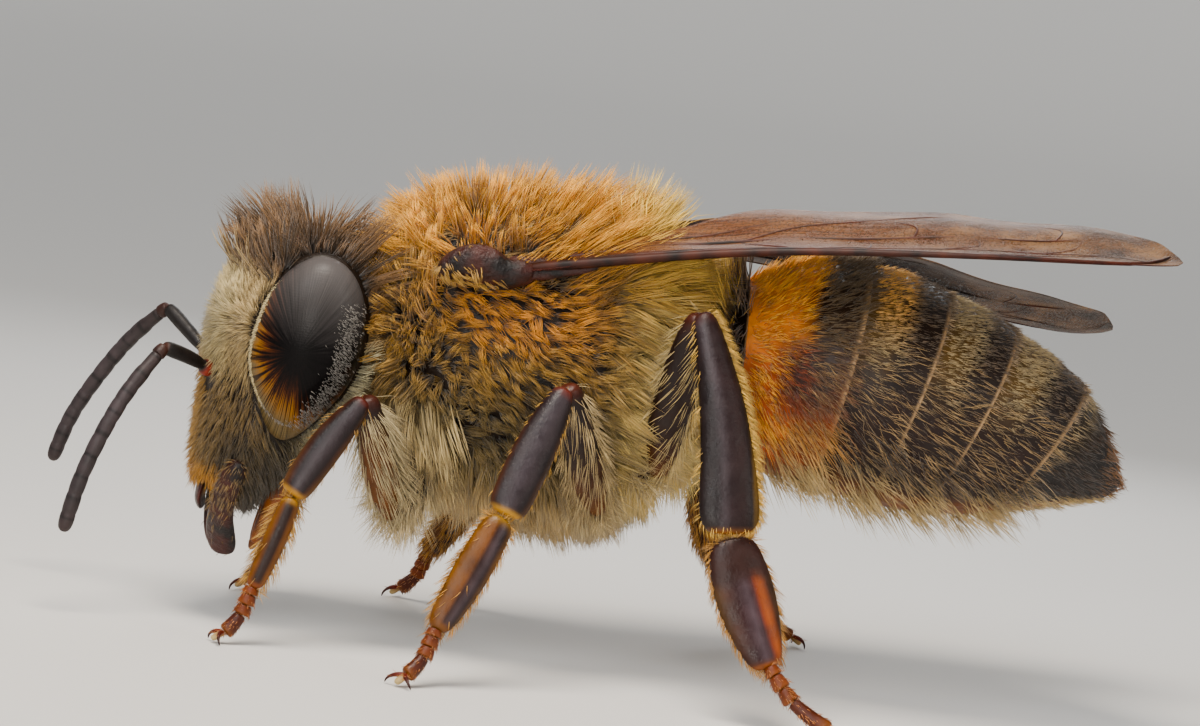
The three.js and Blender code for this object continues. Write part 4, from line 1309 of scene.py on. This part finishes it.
def coatMarking(places):
    x, y, z = places.T
    front, side, up = headPlace(places)
    under = between(3.0, 2.4, z)
    wingRoot = np.exp(-((x + 1.3) / 1.1) ** 4 - ((z - 4.85) / 0.42) ** 4)
    colour = layered(
        tone(coatTones["side"]), coatTones, ("lowSide", between(4.3, 3.4, z)), ("under", under),
        ("rear", between(-0.3, 0.5, x) * (1 - under)), ("orange", wingRoot * 0.9),
        ("top", between(5.1, 5.5, z)), ("scutellum", between(5.1, 5.5, z) * between(-0.4, 0.2, x)),
        ("under", between(-2.3, -2.7, x) * between(3.6, 3.0, z)))

    lowProfile = between(0.5, 0.2, np.abs(side)) * between(0.1, -0.3, up)
    headColour = layered(
        tone(coatTones["face"]), coatTones, ("lowFace", between(0.2, -0.5, up)),
        ("profile", between(0.72, 0.95, front) * between(-0.35, 0.0, up) * 0.7),
        ("lowProfile", lowProfile * 0.8), ("cheek", between(0.3, -0.1, front)),
        ("malar", between(-0.75, -1.05, up) * between(0.75, 0.45, front) * 0.85),
        ("behindEye", between(-0.3, -0.5, front) * between(-1.2, -0.7, up)),
        ("temple", between(0.1, -0.3, front) * between(0.4, 0.9, up)), ("crown", between(0.95, 1.3, up)),
        ("clypeusRim", between(-1.3, -1.55, up) * between(0.25, 0.5, front)))
    colour = blended(colour, headColour, 1 - between(-3.25, -3.1, x))

    number, share, angle = ringPlace(places)
    second, late = number == 2, number >= 3
    ringColour = layered(
        tone(coatTones["waist"]), coatTones,
        ("waistDark", between(0.62, 0.74, share) * between(95, 75, angle)), ("second", second),
        ("secondLow", second * between(62, 76, angle) * between(112, 98, angle) * between(0.25, 0.4, share)),
        ("secondDark", second * secondBand(share, angle)), ("ringDark", late),
        ("ringLow", late * between(70, 95, angle)))
    gold = blended(tone(coatTones["bandGold"]), tone(coatTones["thirdGold"]),
                   (number == 3) * between(75, 40, angle))
    ringColour = blended(ringColour, gold, late * (1 - between(0.36, 0.6, share)) * between(100, 66, angle))
    ringColour = layered(
        ringColour, coatTones, ("edge", late * between(0.92, 0.97, share) * (number < 6) * 0.6),
        ("tail", (number >= 6) * between(0.0, 0.25, share)), ("tailEnd", between(6.95, 7.2, x)),
        ("belly", between(112, 132, angle)))
    return blended(colour, ringColour, between(1.3, 1.5, x))


def clearOfEyes(places, grow=1.0):
    clear = np.ones(len(places))
    half = np.array([eyes["depth"], eyes["bulge"], eyes["length"]]) / 2 * grow
    for side in (-1, 1):
        turn = eyeTurn(side)
        local = (places - np.array(turn.translation)) @ np.array(turn.to_3x3()) / half
        local[:, 0] /= eyeWidth(local[:, 2] / 2)
        clear *= np.linalg.norm(local, axis=1) > 1
    return clear


# Directions given along three axes, as rows.
def directions(*parts):
    return np.stack(np.broadcast_arrays(*parts), axis=1).astype(float)


def fromHead(rows):
    return rows * [-1, 1, 1] @ np.array(headTurn.to_3x3()).T


def unwrapBody(places):
    middle = np.interp(places[:, 0], [-3.0, -1.0, 1.4, 3.0, 7.3], [4.1, 4.2, 4.2, 4.4, 3.4])
    turn = np.arctan2(places[:, 1], places[:, 2] - middle) / (2 * math.pi) + 0.5
    span = (places[:, 0] - places[:, 0].min()) / np.ptp(places[:, 0])
    return np.stack([span, turn], axis=1)


def unwrapHead(places):
    front, side, up = headPlace(places)
    turn = np.arctan2(side, front) / (2 * math.pi) + 0.5
    return np.stack([turn, (up - up.min()) / np.ptp(up)], axis=1)


# thick above, thinner below, bare round the feelers' sockets
def faceWeight(front, side, up):
    thick = (1 - 0.55 * between(0.3, -0.3, up)) * between(-0.05, 0.15, front) * (up < 1.3) * (up > -1.75)
    for feeler in ("left", "right"):
        a, b, c = headPlace(np.array([feelers[feeler]["scape"][0]]))
        thick = thick * between(0.18, 0.3, np.sqrt((front - a) ** 2 + (side - b) ** 2 + (up - c) ** 2))
    return thick


# up the forehead above the feelers, down and a little outward below them, sideways where one turns into the
# other
def faceLie(front, side, up):
    whorl = np.exp(-((up - 0.55) / 0.28) ** 2)
    return 0.1, side * 0.4 + 0.7 * whorl, between(0.1, 1.0, up) * 1.6 - 0.8


# clear of the scales over the wing roots
def topWeight(x, y, z):
    scale = 1 - between(1.2, 0.7, np.hypot((x + 1.7) / 1.1, (np.abs(y) - 1.9) / 0.5))
    return between(5.05, 5.4, z) * np.clip(scale, 0, 1)


# forward at the front of the back and rearward behind, quite upright between
def topLie(x, y, z):
    return 0.45 * (x + 2.0), 0.12 * y, 0


def sideWeight(x, y, z):
    return between(5.35, 5.1, z) * between(2.4, 2.9, z) * between(0.5, 0.0, x)


def sideLie(x, y, z):
    swirl = np.sin(x * 2.3 + z * 1.7) + 0.7 * np.sin(x * 5.1 - z * 4.3)
    return 0.9 - 0.3 * swirl, 0, -0.45 + 0.5 * swirl


# rearward along the abdomen, and down its sides
def ringLie(x, y, z):
    number, share, angle = ringPlace(directions(x, y, z))
    return 1, 0, -0.25 - 0.5 * between(60, 130, angle)


# thick on the front of each ring near its top, thin elsewhere
def ringThickness(share, angle):
    ledge = between(0.8, 0.92, share) * between(55, 30, angle)
    gold = between(0.7, 0.4, share) * between(92, 55, angle)
    return 0.3 + 0.55 * between(80, 50, angle) + 1.1 * gold + 0.9 * ledge


# Each coat: where it stands, how it lies and how many hairs it has. Places are front, side and up on the
# head, and x, y and z elsewhere; the weight of a coat on the abdomen goes by share of the ring and angle
# from its top. Lengths and thickness are in mm, lift and stand in degrees. A tuft has that many hairs: pull
# draws their tips together and gather their roots.
coats = {
    "coatFace": {
        "on": "head", "weight": faceWeight, "clear": 1.02, "lie": faceLie,
        "stand": lambda front, side, up: 18 * np.exp(-((up - 0.55) / 0.3) ** 2), "count": 13000,
        "length": (0.14, 0.32), "lift": 40, "droop": 0.5, "tuft": 3, "pull": 0.12, "wild": 0.14,
        "thick": 0.012, "rootShade": 0.42},
    "coatCrown": {
        "on": "head", "weight": lambda front, side, up: between(1.0, 1.35, up), "clear": 1.04,
        "lie": lambda front, side, up: (0.8 * front, side * 0.4, 0.6), "count": 1600, "length": (0.6, 1.25),
        "lift": 68, "droop": 0.3, "tuft": 10, "gather": 0.6, "pull": 0.6, "wild": 0.2, "thick": 0.019,
        "rootShade": 0.25, "rings": 3, "vary": 0.5,
        "grow": lambda front, side, up: 1 - 0.25 * between(0.3, 0.9, front)},
    "coatCrownShort": {
        "on": "head", "weight": lambda front, side, up: between(1.0, 1.35, up), "clear": 1.04,
        "lie": lambda front, side, up: (0.8 * front, side * 0.4, 0.6), "count": 2200, "length": (0.2, 0.45),
        "lift": 60, "droop": 0.3, "tuft": 6, "pull": 0.4, "wild": 0.2, "thick": 0.016, "rootShade": 0.4,
        "tint": "3A2614", "tintShare": 0.5},
    "coatCheeks": {
        "on": "head", "weight": lambda front, side, up: between(0.4, 0.2, front) * (up < 1.35),
        "clear": 1.03, "lie": lambda front, side, up: (-0.9, side * 0.2, (up - 0.3) * 0.9), "count": 6000,
        "length": (0.25, 0.5),
        "lift": 40, "droop": 0.5, "tuft": 5, "pull": 0.3, "wild": 0.12, "thick": 0.015, "rootShade": 0.35},
    "coatCollar": {
        "on": "thorax", "weight": lambda x, y, z: between(-2.2, -2.6, x) * between(3.2, 3.8, z),
        "lie": lambda x, y, z: (-0.4, 0.5 * y, 0.7 * (z - 4.2)), "count": 3400, "length": (0.4, 0.8),
        "lift": 62, "droop": 0.3, "tuft": 11, "gather": 0.4, "pull": 0.65, "wild": 0.2, "thick": 0.021,
        "rootShade": 0.3, "rings": 3, "vary": 0.4},
    "coatTop": {
        "on": "thorax", "weight": topWeight, "lie": topLie, "count": 5200, "length": (0.6, 1.1), "lift": 68,
        "stand": lambda x, y, z: 20 * np.exp(-((x + 2.0) / 0.7) ** 2), "droop": 0.25, "tuft": 10,
        "gather": 0.3, "pull": 0.5, "wild": 0.16, "thick": 0.019, "rootShade": 0.4, "rings": 3,
        "grow": lambda x, y, z: 0.85 + 0.35 * between(-1.8, 0.2, x)},
    "coatTopShort": {
        "on": "thorax", "weight": topWeight, "lie": topLie, "count": 6500, "length": (0.2, 0.5), "lift": 48,
        "droop": 0.4, "tuft": 5, "pull": 0.25, "wild": 0.3, "thick": 0.016, "rootShade": 0.45,
        "tint": "8E8468", "tintShare": 0.6},
    "coatRear": {
        "on": "thorax", "weight": lambda x, y, z: between(-0.2, 0.3, x) * between(2.7, 3.1, z) * (z < 5.6),
        "lie": lambda x, y, z: (1, 0.35 * y, -0.35 - 0.15 * (4.2 - z)), "count": 7800, "length": (0.5, 1.0),
        "lift": 40, "droop": 0.8, "tuft": 13, "gather": 0.2, "pull": 0.5, "wild": 0.15, "thick": 0.019,
        "rootShade": 0.55, "grow": lambda x, y, z: 1 + 0.35 * between(0.5, 1.1, x)},
    "coatUnder": {
        "on": "thorax", "weight": lambda x, y, z: between(3.2, 2.6, z),
        "lie": lambda x, y, z: (0.35 + 0.2 * x, 0.2 * y, -1), "count": 6500, "length": (0.45, 0.95),
        "lift": 58,
        "droop": 0.4, "sag": 0.3, "tuft": 9, "gather": 0.2, "pull": 0.5, "wild": 0.2, "thick": 0.02,
        "rootShade": 0.5},
    "coatWaist": {
        "on": "abdomen", "numbers": [1], "angles": (-20, 180), "weight": lambda share, angle: 1.2 - share,
        "lie": ringLie, "count": 2600, "length": (0.35, 0.75), "lift": 50, "droop": 0.5, "tuft": 6,
        "pull": 0.3, "wild": 0.2, "thick": 0.016, "rootShade": 0.5,
        "grow": lambda x, y, z: 1 + 0.5 * between(4.5, 5.1, z)},
    "coatOrange": {
        "on": "abdomen", "numbers": [2], "angles": (-20, 118), "lie": ringLie, "count": 6000,
        "length": (0.16, 0.4),
        "lift": 30, "droop": 0.5, "tuft": 4, "pull": 0.2, "wild": 0.22, "thick": 0.013, "rootShade": 0.65},
    "coatRings": {
        "on": "abdomen", "numbers": [3, 4, 5], "angles": (-20, 118), "weight": ringThickness,
        "lie": ringLie,
        "count": 18500, "length": (0.08, 0.2), "lift": 20, "droop": 0.4, "tuft": 3, "pull": 0.1,
        "wild": 0.16, "thick": 0.012, "rootShade": 0.6, "vary": 0.4},
    "coatFlanks": {
        "on": "abdomen", "numbers": [2, 3, 4, 5], "angles": (66, 128), "lie": ringLie, "count": 3000,
        "length": (0.18, 0.44), "lift": 24, "droop": 0.5, "tuft": 2, "pull": 0.1, "wild": 0.22,
        "thick": 0.0075, "rootShade": 0.75, "tint": "BC9860", "tintShare": 0.8, "vary": 0.45},
    "coatTail": {
        "on": "abdomen", "numbers": [6], "angles": (-20, 180), "lie": ringLie, "count": 2600,
        "length": (0.12, 0.3),
        "lift": 24, "droop": 0.4, "tuft": 3, "pull": 0.15, "wild": 0.15, "thick": 0.012, "rootShade": 0.6},
    "coatBelly": {
        "on": "abdomen", "numbers": [2, 3, 4, 5], "angles": (106, 180),
        "weight": lambda share, angle: 0.12 + share ** 3, "lie": ringLie, "count": 2000,
        "length": (0.3, 0.8),
        "lift": 38, "droop": 0.4, "sag": 0.35, "tuft": 4, "pull": 0.3, "wild": 0.2, "thick": 0.013,
        "rootShade": 0.6},
    "coatBeard": {
        "on": "thorax", "weight": lambda x, y, z: between(-1.9, -2.3, x) * between(3.9, 3.4, z) * (z > 2.2),
        "lie": lambda x, y, z: (0.35, 0.5 * np.sign(y), -1), "count": 2200, "length": (0.6, 1.15),
        "lift": 38,
        "droop": 0.6, "sag": 0.2, "tuft": 11, "gather": 0.3, "pull": 0.6, "wild": 0.15, "thick": 0.02,
        "rootShade": 0.55, "rings": 3, "tint": "D0B67C", "tintShare": 0.8},
}
for title, side in (("Left", -1), ("Right", 1)):
    coats[f"coatSide{title}"] = {
        "on": "thorax", "side": side, "weight": sideWeight, "lie": sideLie, "count": 11500,
        "length": (0.26, 0.58),
        "lift": 46, "droop": 0.6, "tuft": 12, "gather": 0.3, "pull": 0.55, "wild": 0.3, "thick": 0.015,
        "rootShade": 0.15, "vary": 0.4}


# How thick a coat of head, thorax or abdomen stands at each place of the skin.
def coatWeight(coat):
    def weight(places, normals):
        x, y, z = places.T
        if coat["on"] == "head":
            thick = coat["weight"](*headPlace(places)) * clearOfEyes(places, coat["clear"])
            return (1 - between(-3.3, -3.15, x)) * thick
        if coat["on"] == "thorax":
            onSide = coat["side"] * y > 0.3 if "side" in coat else 1
            return between(-3.1, -2.95, x) * (1 - between(1.15, 1.3, x)) * coat["weight"](x, y, z) * onSide
        number, share, angle = ringPlace(places)
        low, high = coat["angles"]
        mask = (x > 1.45) * np.isin(number, coat["numbers"]) * between(low - 8, low + 8, angle)
        mask = mask * between(high + 8, high - 8, angle)
        return mask * coat["weight"](share, angle) if "weight" in coat else mask
    return weight


for name, coat in coats.items():
    roots, normals = scatter(bodySkin, coat["count"], coatWeight(coat))
    colours = coatMarking(roots)
    if "tint" in coat:
        colours = blended(colours, tone(coat["tint"]), np.full(len(roots), coat["tintShare"]))
    if coat["on"] == "head":
        lie, unwrap = fromHead(directions(*coat["lie"](*headPlace(roots)))), unwrapHead
    else:
        lie, unwrap = directions(*coat["lie"](*roots.T)), unwrapBody
    growCoat(name, roots, normals, lie, coat, colours, unwrap)
print("body coat ready")


# Short bristles on the eye: a cream fringe along its front margin and a speckled band down its rear
def eyeHairWeight(side):
    turn = eyeTurn(side)

    def weight(p, n):
        local = (p - np.array(turn.translation)) @ np.array(turn.to_3x3())
        x, z = local[:, 0] / eyes["depth"], local[:, 2] / eyes["length"]
        middle = 0.31 - 0.9 * np.maximum(-z - 0.1, 0) ** 1.2
        band = np.exp(-((x - middle) / 0.075) ** 2) * between(0.36, 0.22, z) * between(-0.42, -0.3, z)
        edge = np.exp(-((np.hypot(x,
                                  z * 0.98) / eyeWidth(z) - 0.496) / 0.007) ** 2) * (x < 0.05) * (z > -0.4)
        return (local[:, 1] * side > 0) * (band + 2.2 * edge)
    return weight


eyeHair = {"length": (0.04, 0.085), "lift": 50, "droop": 0.4, "tuft": 2, "pull": 0.1, "wild": 0.15,
           "thick": 0.011, "rootShade": 0.8, "vary": 0.4}
for title, side in (("Left", -1), ("Right", 1)):
    roots, normals = scatter(bpy.data.objects[f"eye{title}"], 3000, eyeHairWeight(side))
    atFront = between(0.15, 0.35, headPlace(roots)[0])
    lie = fromHead(np.tile([-1.0, 0, -0.5], (len(roots), 1)))
    colours = blended(tone("7C7770"), tone("D8C490"), atFront)
    growCoat(f"coatEye{title}", roots, normals, lie, eyeHair, colours, unwrapHead)


def jawWeight(p, n):
    front, side, up = headPlace(p)
    return between(-2.3, -1.8, up) * (np.abs(side) > 0.3) + 0.05


jawHair = {"length": (0.08, 0.2), "lift": 28, "droop": 0.4, "tuft": 3, "pull": 0.3, "wild": 0.12,
           "thick": 0.012, "rootShade": 0.5}
for title in ("Left", "Right"):
    roots, normals = scatter(bpy.data.objects[f"mandible{title}"], 380, jawWeight)
    lie = np.tile(headAxis(0.1, 0, -1), (len(roots), 1))
    growCoat(f"coatJaw{title}", roots, normals, lie, jawHair, tone("8A6A34"), unwrapHead)


# Golden hair over the front and lower edge of each tegula
def tegulaWeight(p, n):
    return between(-1.55, -2.1, p[:, 0]) * (0.04 + between(5.5, 5.3, p[:, 2])) * (p[:, 0] > -2.45)


tegulaHair = {"length": (0.14, 0.3), "lift": 26, "droop": 0.5, "tuft": 8, "gather": 0.3, "pull": 0.6,
              "wild": 0.2, "thick": 0.015, "rootShade": 0.4}
for title in ("Left", "Right"):
    roots, normals = scatter(bpy.data.objects[f"tegula{title}"], 420, tegulaWeight)
    lie = np.tile([0.8, 0, -0.6], (len(roots), 1))
    growCoat(f"coatTegula{title}", roots, normals, lie, tegulaHair, tone("C09030"), unwrapBody)

# hair of the legs: for each part, [share of the hairs, shortest, longest, lift, colour]; the way femur hair
# hangs
legHair = {
    "fore": {"count": 2900, "coxa": [3, 0.4, 0.75, 50, "CEB684"], "femur": [3, 0.25, 0.75, 34, "CCB684"],
             "tibia": [0.8, 0.1, 0.2, 34, "C8922C"], "basitarsus": [2.6, 0.14, 0.34, 42, "C89434"],
             "tarsus": [1.2, 0.06, 0.12, 34, "B8702C"], "hang": (0.6, 0, -1)},
    "mid": {"count": 3000, "coxa": [2, 0.4, 0.7, 50, "CEB684"], "femur": [2.2, 0.25, 0.5, 34, "C4A870"],
            "tibia": [0.8, 0.1, 0.2, 30, "C8942C"], "basitarsus": [3, 0.12, 0.28, 38, "CC9028"],
            "tarsus": [1.2, 0.06, 0.12, 34, "B8702C"], "hang": (0.1, 0, -1)},
    "hind": {"count": 4800, "coxa": [1.2, 0.4, 0.65, 48, "CEB684"], "femur": [1.4, 0.25, 0.5, 34, "C8AC6C"],
             "tibia": [7, 0.14, 0.3, 50, "E0B040"], "basitarsus": [3, 0.12, 0.28, 38, "C88C2C"],
             "tarsus": [1.2, 0.07, 0.14, 34, "B8702C"], "hang": (-0.7, 0, -0.8)},
}


def legLines(leg, side):
    places, ways, owners, shares = [], [], [], []
    for index, piece in enumerate(legPieces):
        line = spline(legPath(leg, piece, side), 24)
        places.append(line)
        ways.append(unit(np.gradient(line, axis=0)))
        owners += [index] * len(line)
        shares.append(np.linspace(0, 1, len(line)))
    return np.concatenate(places), np.concatenate(ways), np.array(owners), np.concatenate(shares)


def coatLeg(leg, side):
    title = f"{leg.title()}{'Left' if side < 0 else 'Right'}"
    piece = bpy.data.objects[f"leg{title}"]
    places, ways, owners, shares = legLines(leg, side)
    nearestOf = nearestAmong(places)
    table = legHair[leg]
    flatWay = np.array(legFlat(side).normalized())

    # femur haired behind, hind tibia along its edges, basitarsus along its edges and inner face
    def weight(p, n):
        near = nearestOf(p)
        owner = owners[near]
        facing = n @ flatWay
        outer = between(0.35, 0.6, facing)
        rearward = between(-0.1, 0.5, n[:, 0])
        femur = (1 - 0.7 * outer) * (0.3 + 0.7 * rearward) * (1 - 0.8 * between(0.75, 0.95, shares[near]))
        joint = between(0.94, 0.98, shares[near])
        tibia = (1 - outer) * (0.4 + 0.6 * rearward) + 1.5 * joint
        if leg == "hind":
            tibia = np.where(np.abs(facing) < 0.55, 0.12 + 1.6 * rearward, 0.0) + 0.3 * joint
        value = np.array([table[part][0] for part in legPieces])[owner]
        shoe = 1 - (1.0 if leg == "hind" else 0.98) * outer
        value *= np.select([owner == 1, owner == 2, owner == 3], [femur, tibia, shoe], 1.0)
        return value * (p[:, 2] > 0.12)

    roots, normals = scatter(piece, table["count"], weight)
    nearest = nearestOf(roots)
    owner = owners[nearest]
    lift = np.array([table[part][3] for part in legPieces])[owner]
    colours = np.array([tone(table[part][4]) for part in legPieces])[owner]
    low, high = (np.array([table[part][k] for part in legPieces])[owner] for k in (1, 2))
    if leg == "hind":
        basket = np.where(owner == 2, np.sin(np.pi * shares[nearest]) ** 0.5 * 0.5 + 0.5, 1)
        low, high = low * basket, high * basket
    coat = {"length": (low, high), "lift": lift, "droop": 0.55, "tuft": 3, "pull": 0.2, "wild": 0.1,
            "thick": 0.01, "rootShade": 0.6}

    # each part of the leg unrolled in a strip of its own
    def unwrapLeg(p):
        near = nearestOf(p)
        aside = normals @ np.cross(flatWay, [0, 0, 1.0])
        around = np.arctan2(normals @ flatWay, aside) / (2 * math.pi) + 0.5
        return np.stack([(owners[near] + shares[near]) / len(legPieces), around], axis=1)

    lie = np.where((owner == 1)[:, None], table["hang"], ways[nearest])
    growCoat(f"coatLeg{title}", roots, normals, lie, coat, colours, unwrapLeg)


for leg in legs:
    for side in (-1, 1):
        coatLeg(leg, side)
print("leg coat ready")
